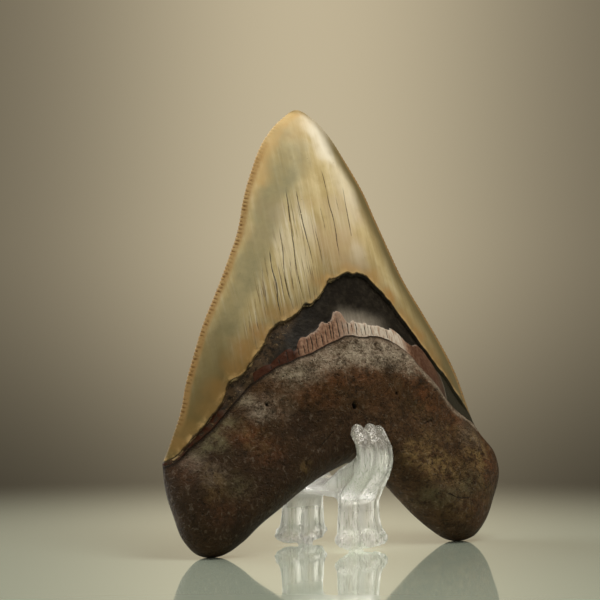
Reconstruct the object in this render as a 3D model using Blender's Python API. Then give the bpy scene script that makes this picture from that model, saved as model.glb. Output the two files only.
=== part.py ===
"""A fossil megalodon tooth standing on a small clear saddle stand.

Lengths are in millimetres here and become metres when a mesh is made. +Z is up, the tooth's width
runs along X and its display face, the tongue side, looks towards -Y. The origin is on the ground,
in the middle of the whole object.

The tooth is drawn flat first, in its own plane: u across its width, v up its slant and w through
its thickness, negative towards the display face. The plane then leans back on the stand.
"""

import math

import bmesh
import bpy
import numpy as np
from mathutils.geometry import delaunay_2d_cdt

MM = 0.001

# How the tooth stands
LEAN = math.radians(10.0)
EDGE_PLANE_Y = 3.0  # the cutting edges' plane, behind the line on which the root tips rest
MIDDLE_Y = 5.95  # the whole object's middle, behind that line
STAND_MIDDLE = (-0.1, 5.5)  # across from the middle between the root tips, and behind their line
STAND_TURN = math.radians(13.0)  # of the stand on the ground, its front leg towards +X

# The tooth's outline, (u, v), with the root tips on v = 0
CROWN_EDGE = (
    (-53.2, 26.0), (-49.6, 32.5), (-45.8, 40.5), (-43.2, 49.0), (-40.1, 57.0), (-36.2, 66.0),
    (-31.7, 74.5), (-27.2, 83.5), (-23.1, 92.5), (-20.5, 101.5), (-17.0, 110.5), (-12.0, 120.0),
    (-5.0, 127.4), (0.5, 130.5), (6.5, 127.6), (9.8, 124.5), (16.0, 115.5), (21.2, 106.5),
    (24.9, 97.5), (28.9, 88.0), (32.9, 79.0), (38.4, 69.7), (43.8, 60.5), (48.4, 51.2),
    (51.2, 42.0), (52.6, 36.0),
)
ROOT_EDGE = (
    (52.6, 36.0), (54.0, 32.0), (57.3, 26.0), (57.9, 20.0), (54.0, 11.0), (50.5, 5.0),
    (45.3, 0.6), (38.6, 0.1), (32.0, 3.8), (27.4, 7.6), (21.7, 13.6), (16.8, 19.0),
    (12.0, 22.8), (6.5, 24.3), (0.5, 22.5), (-6.0, 19.8), (-13.0, 16.0), (-20.0, 11.6),
    (-26.5, 7.5), (-32.5, 3.0), (-38.5, 0.1), (-44.6, 0.5), (-49.0, 4.8), (-51.5, 12.0),
    (-53.3, 20.5), (-53.2, 26.0),
)
TIP_U, TIP_V = 0.5, 130.5

# Lines on the display face, (u, v): where the enamel ends, the top of the ribbed strip that is
# left of the band below it, and where the root begins
ENAMEL_END = (
    (-53.2, 26.0), (-50.0, 27.4), (-46.0, 30.6), (-42.0, 34.6), (-38.0, 38.6), (-35.0, 42.4),
    (-33.2, 46.6), (-30.0, 48.8), (-27.0, 52.5), (-23.5, 57.0), (-20.4, 61.6), (-18.0, 63.8),
    (-14.0, 64.9), (-10.5, 67.6), (-7.0, 69.6), (-3.5, 72.7), (-0.8, 75.9), (3.0, 77.4),
    (7.5, 78.3), (11.5, 77.7), (15.5, 75.0), (19.5, 71.6), (23.5, 67.0), (28.5, 61.0),
    (33.0, 56.0), (38.0, 50.9), (43.0, 46.3), (48.0, 41.3), (52.6, 36.0),
)
STRIP_TOP = (
    (-27.0, 50.6), (-24.5, 52.2), (-22.0, 53.0), (-20.0, 55.2), (-17.0, 56.4), (-14.8, 56.2),
    (-13.0, 58.4), (-10.0, 59.8), (-7.0, 61.6), (-5.0, 63.3), (-1.8, 64.4), (-0.6, 66.4),
    (1.6, 66.4), (3.0, 63.9), (6.0, 63.8), (10.0, 63.0), (16.0, 62.0), (19.5, 61.2),
    (22.5, 58.8), (25.5, 56.8), (29.0, 57.2), (32.0, 55.4), (35.0, 51.6), (38.0, 48.6),
)
ROOT_TOP = (
    (-53.2, 25.0), (-50.0, 26.2), (-46.0, 29.4), (-42.0, 32.6), (-38.0, 36.0), (-35.0, 39.2),
    (-32.0, 42.6), (-29.0, 45.4), (-25.0, 48.7), (-21.0, 50.9), (-17.0, 52.2), (-13.0, 53.4),
    (-9.0, 55.2), (-5.0, 56.9), (-1.0, 58.5), (3.0, 59.4), (8.0, 59.3), (12.0, 59.3),
    (16.0, 58.3), (20.0, 56.6), (24.0, 53.8), (27.0, 50.5), (30.0, 47.8), (34.0, 44.6),
    (38.0, 41.4), (41.0, 38.7), (44.0, 37.2), (48.0, 36.2), (52.6, 34.5),
)
# On the lip side the enamel reaches lower, in a shallow arch
LIP_ENAMEL_END = (
    (-53.2, 25.0), (-38.0, 31.0), (-22.0, 40.5), (0.0, 46.5), (6.0, 47.0), (22.0, 44.0),
    (40.0, 38.0), (52.6, 35.0),
)

# Thickness at the middle of the tooth, (v, w), on the display face and on the lip side
CROWN_FRONT = (
    (0.0, 15.0), (50.0, 15.0), (60.0, 14.2), (70.0, 13.0), (80.0, 11.7), (90.0, 10.2),
    (100.0, 8.6), (110.0, 6.9), (118.0, 5.3), (125.0, 3.4), (129.0, 1.7), (130.5, 0.4),
)
CROWN_BACK = (
    (0.0, 6.5), (50.0, 6.2), (70.0, 5.6), (90.0, 4.6), (110.0, 3.2), (120.0, 2.3),
    (127.0, 1.3), (130.5, 0.4),
)
ROOT_FRONT = (
    (0.0, 10.5), (12.0, 11.3), (22.0, 11.6), (30.0, 11.8), (37.0, 12.4), (48.0, 15.4),
    (56.0, 15.0), (64.0, 13.6), (80.0, 11.5), (131.0, 11.0),
)
ROOT_BACK = ((0.0, 7.0), (25.0, 7.4), (45.0, 7.0), (60.0, 5.8), (131.0, 5.0))
SIDE_THINNING = 0.42  # of the root's thickness, lost towards its sides
ROOT_ROUNDING = 9.0  # from the root's rim to its full thickness
ROOT_MIDDLE_W = -3.0  # the root's rim sits this far in front of the cutting edges
ROOT_BLEND = 11.0  # over which the root's bulk gives way to the crown's

# Relief, in depth or height across the face
ENAMEL_STEP = 1.15
STEP_RUN = 0.7
STRIP_HEIGHT = 0.55
STRIP_RUN = 0.6
ROOT_LEDGE = 0.9
LEDGE_RUN = 1.8
LIP_ENAMEL_STEP = 0.35
LUMP = 0.32
PITS = ((2.7, 39.3, 1.1, 2.6), (-25.0, 40.2, 0.9, 0.9), (17.2, 42.7, 0.8, 0.9), (30.0, 34.8, 0.7, 0.7))
DENTS = ((-31.0, 44.0, 7.5, 0.8), (33.0, 20.0, 10.0, 0.8), (-8.0, 29.0, 8.0, 0.5))
BUMPS = ((-26.5, 38.0, 6.5, 0.8), (-43.0, 21.0, 7.0, 0.4))

# Serrations of the cutting edges
SERRATION_PITCH = 1.2
SERRATION_DEPTH = 0.36
SERRATION_FADE = 7.0  # from the tip and from the root, over which they die out

# How finely the tooth is faceted
ROOT_RIM_STEP = 2.4
LINE_STEP = 2.3
RINGS = ((0.8, 1.2), (2.3, 2.4))  # distance inside the rim, spacing along it
GRID_STEP = 3.7

# The stand: its half profile, from a leg's foot to its lip, as
# (height, outward of the waist, width, half thickness)
LEG_SECTIONS = (
    (0.0, 0.7, 14.4, 1.5), (1.4, 0.8, 16.6, 2.4), (3.6, 0.8, 17.4, 2.6), (5.4, 0.5, 16.3, 1.9),
    (8.0, 0.2, 15.4, 1.6), (11.0, 0.0, 15.0, 1.6), (13.6, 0.0, 14.9, 1.6), (16.6, 1.3, 14.6, 1.7),
    (19.6, 3.5, 14.2, 1.8), (22.6, 5.5, 13.9, 1.9), (25.6, 6.4, 13.6, 1.9), (28.4, 6.1, 13.4, 1.9),
    (31.0, 4.8, 13.2, 1.9), (33.0, 3.6, 13.0, 1.8),
)
LEG_STATIONS = 26
LIP_STEPS = 3
LIP_STRETCH = 1.4  # how far each rib's end runs out, in its own half thicknesses
LIP_TURN = math.radians(80)  # through which each rib's end rounds over
LIP_NARROWING = 0.12
WAIST_Y = 11.3  # from the stand's middle to the middle of each leg's waist
RIBS = 3
RIB_POINTS = 5
RIB_SHARE = 0.42  # of the half thickness that the grooves between the ribs cut away

BRIDGE_WIDTH = 13.9
BRIDGE_TOP = (
    (0.0, 20.4), (3.0, 20.5), (5.0, 21.4), (7.0, 22.8), (9.0, 24.2), (11.5, 25.4), (14.0, 26.8),
    (16.3, 28.4),
)
BRIDGE_UNDER = ((0.0, 15.0), (4.0, 14.8), (7.6, 13.9), (9.8, 12.8), (11.3, 10.5))
BRIDGE_SHOULDER = 3.5  # from its rounded back down to its straight sides
BRIDGE_STEPS = 10  # along half its length, and across its width


def smooth_step(value, low, high):
    """0 below low and 1 above high, with a smooth change between."""
    share = np.clip((value - low) / (high - low), 0.0, 1.0)
    return share * share * (3.0 - 2.0 * share)


def flow(keys, x):
    """A smooth curve through keys, (x, value) in order of x, read at each x."""
    keys = np.asarray(keys, float)
    at, value = keys[:, 0], keys[:, 1]
    slope = np.gradient(value, at)
    x = np.clip(x, at[0], at[-1])
    i = np.clip(np.searchsorted(at, x, side="right") - 1, 0, len(at) - 2)
    width = at[i + 1] - at[i]
    t = (x - at[i]) / width
    return (
        value[i] * (1 + 2 * t) * (1 - t) ** 2
        + slope[i] * width * t * (1 - t) ** 2
        + value[i + 1] * t * t * (3 - 2 * t)
        + slope[i + 1] * width * t * t * (t - 1)
    )


def drawn(points, step):
    """Points about one step apart, evenly along a smooth line through the given ones."""
    points = np.asarray(points, float)
    knots = np.concatenate([[0.0], np.cumsum(np.linalg.norm(np.diff(points, axis=0), axis=1))])
    fine = np.linspace(0.0, knots[-1], 40 * len(points))
    line = np.stack([flow(np.stack([knots, axis], 1), fine) for axis in points.T], 1)
    along = np.concatenate([[0.0], np.cumsum(np.linalg.norm(np.diff(line, axis=0), axis=1))])
    even = np.linspace(0.0, along[-1], 1 + round(along[-1] / step))
    return np.stack([np.interp(even, along, axis) for axis in line.T], 1)


def outward(line):
    """The unit normal at each point of a line, to the left of its direction."""
    ahead = np.gradient(line, axis=0)
    ahead /= np.linalg.norm(ahead, axis=1)[:, None]
    return np.stack([-ahead[:, 1], ahead[:, 0]], 1)


def serrated_edge():
    """The cutting edge from the left shoulder over the tip to the right one, saw-toothed."""
    line = drawn(CROWN_EDGE, SERRATION_PITCH / 2)
    from_ends = np.minimum(np.arange(len(line)), np.arange(len(line))[::-1]) * SERRATION_PITCH / 2
    from_tip = np.linalg.norm(line - line[np.argmax(line[:, 1])], axis=1)
    size = SERRATION_DEPTH * smooth_step(from_ends, 0.0, SERRATION_FADE)
    size = size * smooth_step(from_tip, 0.0, SERRATION_FADE)
    cut = (np.arange(len(line)) % 2) * size
    return line - outward(line) * cut[:, None]


def tooth_rim():
    """The whole outline as one closed loop, clockwise."""
    crown = serrated_edge()
    root = drawn(ROOT_EDGE, ROOT_RIM_STEP)
    return np.concatenate([crown, root[1:-1]])


def distance_to(points, loop):
    """Each point's distance from a closed loop of straight pieces."""
    start = loop[None]
    along = np.roll(loop, -1, axis=0)[None] - start
    gap = points[:, None] - start
    share = np.clip((gap * along).sum(2) / (along**2).sum(2), 0.0, 1.0)
    return np.linalg.norm(gap - along * share[..., None], axis=2).min(1)


def inside(points, loop):
    """Whether each point lies inside a closed loop."""
    x, y = points[:, 0][:, None], points[:, 1][:, None]
    x0, y0 = loop[:, 0][None], loop[:, 1][None]
    x1, y1 = np.roll(loop, -1, axis=0).T[:, None]
    crosses = (y0 > y) != (y1 > y)
    reach = x0 + (x1 - x0) * (y - y0) / np.where(y1 == y0, 1.0, y1 - y0)
    return (crosses & (x < reach)).sum(1) % 2 == 1


def above(line, u, v):
    """Each point's height over a line on the face, square to the line."""
    slope = flow(line, u + 0.5) - flow(line, u - 0.5)
    return (v - flow(line, u)) / np.hypot(1.0, slope)


def line_at(line, offset, step, ends=3.0):
    """Points along a line on the face, shifted square to it, and kept clear of the rim."""
    low, high = line[0][0] + ends, line[-1][0] - ends
    points = drawn([(u, flow(line, u)) for u in np.linspace(low, high, 40)], step)
    return points + outward(points) * offset


def across(u, v):
    """Where a point is across the tooth: 0 in the middle, -1 and 1 at its sides."""
    left = [(b, a) for a, b in CROWN_EDGE if a <= TIP_U]
    right = [(b, a) for a, b in reversed(CROWN_EDGE) if a >= TIP_U]
    left = [(5.0, -49.0), (12.0, -51.5), (20.5, -53.3)] + left
    right = [(5.0, 50.5), (11.0, 54.0), (20.0, 57.9), (26.0, 57.3), (32.0, 54.0)] + right
    low, high = flow(left, v), flow(right, v)
    return np.clip((2 * u - low - high) / np.maximum(high - low, 0.5), -1.0, 1.0)


def lumps(u, v):
    """Slow, uneven swellings of the fossil's surface, between about -1 and 1."""
    total = np.zeros_like(u)
    for pitch, turn, phase in ((23.0, 0.4, 1.0), (15.0, 1.7, 2.4), (10.0, 2.6, 0.3), (7.0, 0.9, 4.0)):
        ahead = u * math.cos(turn) + v * math.sin(turn)
        side = v * math.cos(turn) - u * math.sin(turn)
        total += np.sin(6.283 * ahead / pitch + phase) * np.sin(5.1 * side / pitch + 2 * phase) * pitch
    return total / 40.0


def hollows(u, v, spots):
    """The depth of round pits, each given as (u, v, radius, depth)."""
    depth = np.zeros_like(u)
    for at_u, at_v, radius, deep in spots:
        away = np.hypot(u - at_u, v - at_v) / radius
        depth += deep * (1.0 - smooth_step(away, 0.15, 1.0))
    return depth


def rounded(distance, reach):
    """A quarter circle's rise from 0 at the rim to 1 at reach."""
    share = 1.0 - np.clip(distance / reach, 0.0, 1.0)
    return np.sqrt(1.0 - share * share)


def display_height(u, v, rim):
    """How far the display face stands in front of the tooth's middle surface."""
    q = across(u, v)
    over_enamel_end = above(ENAMEL_END, u, v)
    over_root_top = above(ROOT_TOP, u, v)
    crown = flow(CROWN_FRONT, v) * (1.0 - q * q) ** 1.05 + 0.25 * rounded(rim, 1.0)
    root = flow(ROOT_FRONT, v) * (1.0 - SIDE_THINNING * q**2) * rounded(rim, ROOT_ROUNDING)
    bulk = smooth_step(over_enamel_end, -ROOT_BLEND, 3.0)
    height = root * (1.0 - bulk) + crown * bulk
    from_rim = smooth_step(rim, 0.5, 5.0)
    below_enamel = 1.0 - smooth_step(over_enamel_end, -STEP_RUN, 0.0)
    on_root = 1.0 - smooth_step(over_root_top, -LEDGE_RUN, 0.0)
    on_strip = 1.0 - smooth_step(above(STRIP_TOP, u, v), -STRIP_RUN, 0.0)
    on_strip = on_strip * smooth_step(u, -28.0, -25.0) * (1.0 - smooth_step(u, 34.0, 38.0))
    height -= ENAMEL_STEP * below_enamel * from_rim
    height += STRIP_HEIGHT * on_strip * below_enamel * from_rim
    height += ROOT_LEDGE * on_root * from_rim
    height += LUMP * lumps(u, v) * on_root * smooth_step(rim, 0.0, 8.0)
    height += (hollows(u, v, BUMPS) - hollows(u, v, PITS + DENTS)) * smooth_step(rim, 0.5, 4.0)
    return np.maximum(height, 0.12)


def lip_height(u, v, rim):
    """How far the lip side stands behind the tooth's middle surface."""
    q = across(u, v)
    over_enamel_end = above(LIP_ENAMEL_END, u, v)
    crown = flow(CROWN_BACK, v) * (1.0 - q * q) ** 0.8 + 0.2 * rounded(rim, 1.0)
    root = flow(ROOT_BACK, v) * (1.0 - 0.3 * q**2) * rounded(rim, ROOT_ROUNDING)
    bulk = smooth_step(over_enamel_end, -ROOT_BLEND, 3.0)
    below_enamel = 1.0 - smooth_step(over_enamel_end, -STEP_RUN, 0.0)
    height = root * (1.0 - bulk) + crown * bulk
    height -= LIP_ENAMEL_STEP * below_enamel * smooth_step(rim, 0.5, 5.0)
    height += LUMP * lumps(u + 31.0, v - 17.0) * below_enamel * smooth_step(rim, 0.0, 8.0)
    return np.maximum(height, 0.12)


def middle_surface(v):
    """Where the rim lies through the thickness: on the cutting edges' plane, further forward at the root."""
    return ROOT_MIDDLE_W * (1.0 - smooth_step(v, 8.0, 45.0))


def pit_points():
    """A ring, a smaller ring and a middle point for each pit."""
    points = []
    for at_u, at_v, radius, _ in PITS:
        points.append((at_u, at_v))
        for share, count in ((0.55, 6), (1.0, 8)):
            for turn in np.arange(count) * 2 * math.pi / count:
                reach = share * radius
                points.append((at_u + reach * math.cos(turn), at_v + reach * math.sin(turn)))
    return np.array(points)


def face_points(rim, lines):
    """Points over the flat outline: along the rim, along the lines and pits, and a grid elsewhere."""
    chosen = [np.concatenate([*lines, pit_points()])]
    normal = outward(np.concatenate([rim, rim[:1]]))[:-1]
    for depth, spacing in RINGS:
        line = rim - normal * depth
        along = np.concatenate([[0.0], np.cumsum(np.linalg.norm(np.diff(line, axis=0), axis=1))])
        even = np.arange(0.0, along[-1], spacing)
        ring = np.stack([np.interp(even, along, axis) for axis in line.T], 1)
        chosen.append(ring[distance_to(ring, rim) > 0.8 * depth])
    us = np.arange(-60.0, 60.0, GRID_STEP)
    vs = np.arange(0.5, TIP_V, GRID_STEP * 0.866)
    grid = np.array([(u + GRID_STEP / 2 * (k % 2), v) for k, v in enumerate(vs) for u in us])
    grid = grid[inside(grid, rim)]
    grid = grid[distance_to(grid, rim) > RINGS[-1][0] + 0.45 * GRID_STEP]
    chosen.append(grid)
    kept = chosen[0][distance_to(chosen[0], rim) > 1.6]
    for more, spacing in zip(chosen[1:], (0.8, 1.4, 0.62 * GRID_STEP), strict=True):
        more = more[inside(more, rim)]
        away = np.linalg.norm(more[:, None] - kept[None], axis=2).min(1)
        kept = np.concatenate([kept, more[away > spacing]])
    return kept


def flat_triangles(rim, lines):
    """The outline cut into triangles, as (points, triangles), with the rim's points first."""
    extra = np.zeros((0, 2))
    count = len(rim)
    loop = [(i, (i + 1) % count) for i in range(count)]
    points = face_points(rim, lines)
    while True:
        every = np.concatenate([rim, points, extra])
        made = delaunay_2d_cdt([tuple(p) for p in every], loop, [], 1, 1e-6)
        found = np.array([tuple(p) for p in made[0]])
        triangles = np.array([tuple(face) for face in made[2]])
        on_rim = np.array([any(k < count for k in source) for source in made[3]])
        original = np.array([min(source) if source else -1 for source in made[3]])
        # An edge that crosses the inside from rim to rim would join the two faces, so it is split.
        pairs = np.concatenate([triangles[:, [0, 1]], triangles[:, [1, 2]], triangles[:, [2, 0]]])
        both = pairs[on_rim[pairs].all(1)]
        step = np.abs(original[both[:, 0]] - original[both[:, 1]])
        crossing = both[(step != 1) & (step != count - 1)]
        if not len(crossing):
            return found, triangles, on_rim
        middles = (found[crossing[:, 0]] + found[crossing[:, 1]]) / 2
        extra = np.concatenate([extra, np.unique(middles.round(4), axis=0)])


def leaning(u, v, w, width_shift):
    """The tooth's own (u, v, w) as millimetres in the object's frame, before it is set on the ground."""
    x = u + width_shift
    y = EDGE_PLANE_Y + v * math.sin(LEAN) + w * math.cos(LEAN) - MIDDLE_Y
    z = v * math.cos(LEAN) - w * math.sin(LEAN)
    return np.stack([x, y, z], 1)


def new_object(name, points, faces, material, collection):
    """An object from points in millimetres."""
    mesh = bpy.data.meshes.new(name)
    mesh.from_pydata([tuple(p) for p in np.asarray(points) * MM], [], [tuple(map(int, f)) for f in faces])
    work = bmesh.new()
    work.from_mesh(mesh)
    bmesh.ops.recalc_face_normals(work, faces=work.faces)
    work.to_mesh(mesh)
    work.free()
    mesh.materials.append(material)
    made = bpy.data.objects.new(name, mesh)
    collection.objects.link(made)
    return made


def make_tooth(material, collection):
    """The tooth: the flat triangles raised to the display face and to the lip side, joined at the rim."""
    rim = tooth_rim()
    lines = [
        line_at(ENAMEL_END, 0.0, LINE_STEP),
        line_at(ENAMEL_END, -STEP_RUN, LINE_STEP),
        line_at(STRIP_TOP, 0.0, LINE_STEP, 0.0),
        line_at(STRIP_TOP, -STRIP_RUN, LINE_STEP, 0.0),
        line_at(ROOT_TOP, 0.0, LINE_STEP, 8.0),
        line_at(ROOT_TOP, -LEDGE_RUN, LINE_STEP, 8.0),
    ]
    flat, triangles, on_rim = flat_triangles(rim, lines)
    u, v = flat.T
    inner = distance_to(flat, rim)
    middle = middle_surface(v)
    front = np.where(on_rim, middle, middle - display_height(u, v, inner))
    back = middle + lip_height(u, v, inner)
    shift = -(rim[:, 0].min() + rim[:, 0].max()) / 2
    front_points = leaning(u, v, front, shift)
    back_points = leaning(u, v, back, shift)
    behind = np.arange(len(flat))
    behind[~on_rim] = len(flat) + np.arange((~on_rim).sum())
    points = np.concatenate([front_points, back_points[~on_rim]])
    points[:, 2] -= points[:, 2].min()
    faces = np.concatenate([triangles, behind[triangles[:, ::-1]]])
    tooth = new_object("tooth", points, faces, material, collection)
    tooth.data.shade_smooth()
    tooth.data.set_sharp_from_angle(angle=math.radians(50))
    return tooth, shift


def fluted_section(width, half):
    """A leg's cross-section, (across, through), with its ribs on both faces."""
    side = []
    for k in range(RIBS * (RIB_POINTS - 1) + 1):
        share = k / (RIBS * (RIB_POINTS - 1))
        rib = abs(math.sin(math.pi * RIBS * share))
        side.append((width * (share - 0.5), half * (1.0 - RIB_SHARE + RIB_SHARE * rib)))
    return side + [(x, -h) for x, h in reversed(side)]


def on_the_ground(points, width_shift):
    """The stand's own points, with the bridge along y, turned and moved to where the stand is."""
    x, y, z = np.array(points).T
    turned_x = x * math.cos(STAND_TURN) - y * math.sin(STAND_TURN)
    turned_y = x * math.sin(STAND_TURN) + y * math.cos(STAND_TURN)
    return np.stack([turned_x + STAND_MIDDLE[0] + width_shift, turned_y + STAND_MIDDLE[1] - MIDDLE_Y, z], 1)


def loft(sections, name, material, collection, width_shift):
    """A closed solid through sections with equal numbers of points, with flat ends."""
    count = len(sections[0])
    points = on_the_ground([p for section in sections for p in section], width_shift)
    faces = [tuple(range(count)), tuple(range(len(points) - count, len(points)))[::-1]]
    for k in range(len(sections) - 1):
        for i in range(count):
            j = (i + 1) % count
            a, b = k * count, (k + 1) * count
            faces.append((a + i, b + i, b + j, a + j))
    return new_object(name, points, faces, material, collection)


def leg_line():
    """The leg's keys as (along, outward, height, width, half thickness) from the foot to the lip."""
    keys = np.array(LEG_SECTIONS)
    run = np.linalg.norm(np.diff(keys[:, :2], axis=0), axis=1)
    along = np.concatenate([[0.0], np.cumsum(run)])
    return np.stack([along, keys[:, 1], keys[:, 0], keys[:, 2], keys[:, 3]], 1)


def leg_sections(side):
    """The leg's cross-sections from its foot to the rounded ends of its ribs."""
    keys = leg_line()
    at = np.linspace(0.0, keys[-1, 0], LEG_STATIONS)
    out, up, width, half = (flow(keys[:, [0, k]], at) for k in (1, 2, 3, 4))
    tilt = np.arctan2(np.gradient(out), np.gradient(up))
    tilt[0] = 0.0
    stations = [(k, 0.0) for k in range(LEG_STATIONS)]
    stations += [(LEG_STATIONS - 1, LIP_TURN * step / LIP_STEPS) for step in range(1, LIP_STEPS + 1)]
    sections = []
    for k, turn in stations:
        section = []
        narrowed = 1.0 - LIP_NARROWING * (1.0 - math.cos(turn))
        for x, through in fluted_section(width[k], half[k]):
            ahead = LIP_STRETCH * abs(through) * math.sin(turn)
            through *= math.cos(turn)
            y = WAIST_Y + out[k] + through * math.cos(tilt[k]) + ahead * math.sin(tilt[k])
            z = up[k] - through * math.sin(tilt[k]) + ahead * math.cos(tilt[k])
            section.append((x * narrowed, side * y, z))
        sections.append(section)
    return sections


def bridge_side(drop):
    """Half of the bridge's outline seen from the side, (y, z), from its arch up to its back.

    It ends inside the leg, on the leg's middle line; drop lowers the back.
    """
    rows = leg_line()[3:13]
    bottom, top = BRIDGE_UNDER[-1][1], BRIDGE_TOP[-1][1] - drop
    under = [(y, flow(BRIDGE_UNDER, y)) for y in np.linspace(0.0, WAIST_Y, BRIDGE_STEPS)]
    rise = np.linspace(bottom, top, BRIDGE_STEPS)
    leg = [(WAIST_Y + flow(rows[:, [2, 1]], z), z) for z in rise[1:]]
    back = [(y, flow(BRIDGE_TOP, y) - drop) for y in np.linspace(leg[-1][0], 0.0, BRIDGE_STEPS)]
    return under + leg + back[1:]


def bridge_sections():
    """The bridge between the legs: an arch below, straight sides and a rounded back."""
    sections = []
    for turn in np.linspace(-math.pi / 2, math.pi / 2, BRIDGE_STEPS + 1):
        drop = BRIDGE_SHOULDER * (1.0 - math.cos(turn))
        x = BRIDGE_WIDTH / 2 * math.sin(turn)
        half = bridge_side(drop)
        outline = [(x, y, z) for y, z in half] + [(x, -y, z) for y, z in half[-2:0:-1]]
        sections.append(outline)
    return sections


def make_stand(material, collection, helpers, width_shift):
    """The clear stand: the front leg, with the rear leg and the bridge joined to it."""
    stand = loft(leg_sections(-1), "stand", material, collection, width_shift)
    for name, sections in (("rear_leg", leg_sections(1)), ("bridge", bridge_sections())):
        other = loft(sections, name, material, helpers, width_shift)
        other.hide_render = True
        other.display_type = "WIRE"
        join = stand.modifiers.new("join_" + name, "BOOLEAN")
        join.operation = "UNION"
        join.object = other
    return stand


def new_material(name, colour, roughness, see_through=0.0):
    """A plain Principled material."""
    material = bpy.data.materials.new(name)
    material.use_nodes = True
    shader = material.node_tree.nodes["Principled BSDF"]
    shader.inputs["Base Color"].default_value = (*colour, 1.0)
    shader.inputs["Roughness"].default_value = roughness
    shader.inputs["Metallic"].default_value = 0.0
    shader.inputs["Transmission Weight"].default_value = see_through
    return material


def main():
    for old in list(bpy.data.objects):
        bpy.data.objects.remove(old, do_unlink=True)
    collection = bpy.data.collections.new("megalodon_tooth")
    helpers = bpy.data.collections.new("joined_shapes")
    bpy.context.scene.collection.children.link(collection)
    bpy.context.scene.collection.children.link(helpers)
    fossil = new_material("fossil", (0.33, 0.24, 0.15), 0.5)
    acrylic = new_material("acrylic", (0.95, 0.96, 0.95), 0.05, 1.0)
    acrylic.node_tree.nodes["Principled BSDF"].inputs["IOR"].default_value = 1.49
    shift = make_tooth(fossil, collection)[1]
    make_stand(acrylic, collection, helpers, shift)


main()
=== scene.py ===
"""A fossil megalodon tooth on a moulded clear stand, dressed for rendering around its CAD frame.

Lengths are in millimetres in the code and become metres when a mesh is made. The tooth is drawn
flat first, in its own plane: u across its width, v up its slant and w through its thickness,
negative towards the display face, which looks to -Y.
"""

import math

import bmesh
import bpy
import numpy as np
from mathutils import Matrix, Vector, noise
from mathutils.geometry import delaunay_2d_cdt


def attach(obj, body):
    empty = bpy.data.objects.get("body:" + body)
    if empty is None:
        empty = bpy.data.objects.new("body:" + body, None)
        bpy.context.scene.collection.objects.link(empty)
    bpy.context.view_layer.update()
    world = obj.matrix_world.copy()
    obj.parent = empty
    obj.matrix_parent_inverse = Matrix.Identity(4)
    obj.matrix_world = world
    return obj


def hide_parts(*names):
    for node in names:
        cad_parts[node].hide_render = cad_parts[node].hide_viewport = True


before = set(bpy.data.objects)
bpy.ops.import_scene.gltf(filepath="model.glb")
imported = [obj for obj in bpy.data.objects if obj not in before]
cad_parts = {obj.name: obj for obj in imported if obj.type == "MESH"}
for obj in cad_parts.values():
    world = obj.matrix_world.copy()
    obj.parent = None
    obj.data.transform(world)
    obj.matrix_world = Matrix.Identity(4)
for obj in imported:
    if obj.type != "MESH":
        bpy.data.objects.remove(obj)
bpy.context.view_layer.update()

bl_info = {
    "name": "Fossil tooth on a clear stand",
    "version": (1, 0, 0),
    "blender": (4, 5, 0),
    "location": "3D View > Sidebar > Fossil",
    "description": "Builds a fossil megalodon tooth, its moulded clear stand and a plain studio",
    "category": "Object",
}

MM = 0.001
CHUNK = 1500  # points compared with a line in one go

# How the tooth stands
LEAN = math.radians(10.0)
EDGE_PLANE_Y = 3.0
MIDDLE_Y = 5.95
STAND_MIDDLE = (-0.1, 5.5)
STAND_TURN = math.radians(13.0)

# The tooth's outline, (u, v), with the root tips on v = 0
TIP_U, TIP_V = 0.5, 130.5
CROWN_EDGE = (
    (-53.2, 26), (-49.6, 32.5), (-45.8, 40.5), (-43.2, 49), (-40.1, 57), (-36.2, 66), (-31.7, 74.5),
    (-27.2, 83.5), (-23.1, 92.5), (-20.5, 101.5), (-17, 110.5), (-12, 120), (-5, 127.4), (0.5, 130.5),
    (6.5, 127.6), (9.8, 124.5), (16, 115.5), (21.2, 106.5), (24.9, 97.5), (28.9, 88), (32.9, 79),
    (38.4, 69.7), (43.8, 60.5), (48.4, 51.2), (51.2, 42), (52.6, 36),
)
ROOT_EDGE = (
    (52.6, 36), (54, 32), (57.3, 26), (57.9, 20), (54, 11), (50.5, 5), (45.3, 0.6), (38.6, 0.1),
    (32, 3.8), (27.4, 7.6), (21.7, 13.6), (16.8, 19), (12, 22.8), (6.5, 24.3), (0.5, 22.5), (-6, 19.8),
    (-13, 16), (-20, 11.6), (-26.5, 7.5), (-32.5, 3), (-38.5, 0.1), (-44.6, 0.5), (-49, 4.8), (-51.5, 12),
    (-53.3, 20.5), (-53.2, 26),
)
# The crown's edges alone as (v, u), and how the root goes on below each of them
CROWN_LEFT = tuple((v, u) for u, v in CROWN_EDGE if u <= TIP_U)
CROWN_RIGHT = tuple((v, u) for u, v in reversed(CROWN_EDGE) if u >= TIP_U)
ROOT_LEFT = ((5, -49), (12, -51.5), (20.5, -53.3))
ROOT_RIGHT = ((5, 50.5), (11, 54), (20, 57.9), (26, 57.3), (32, 54))

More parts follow.
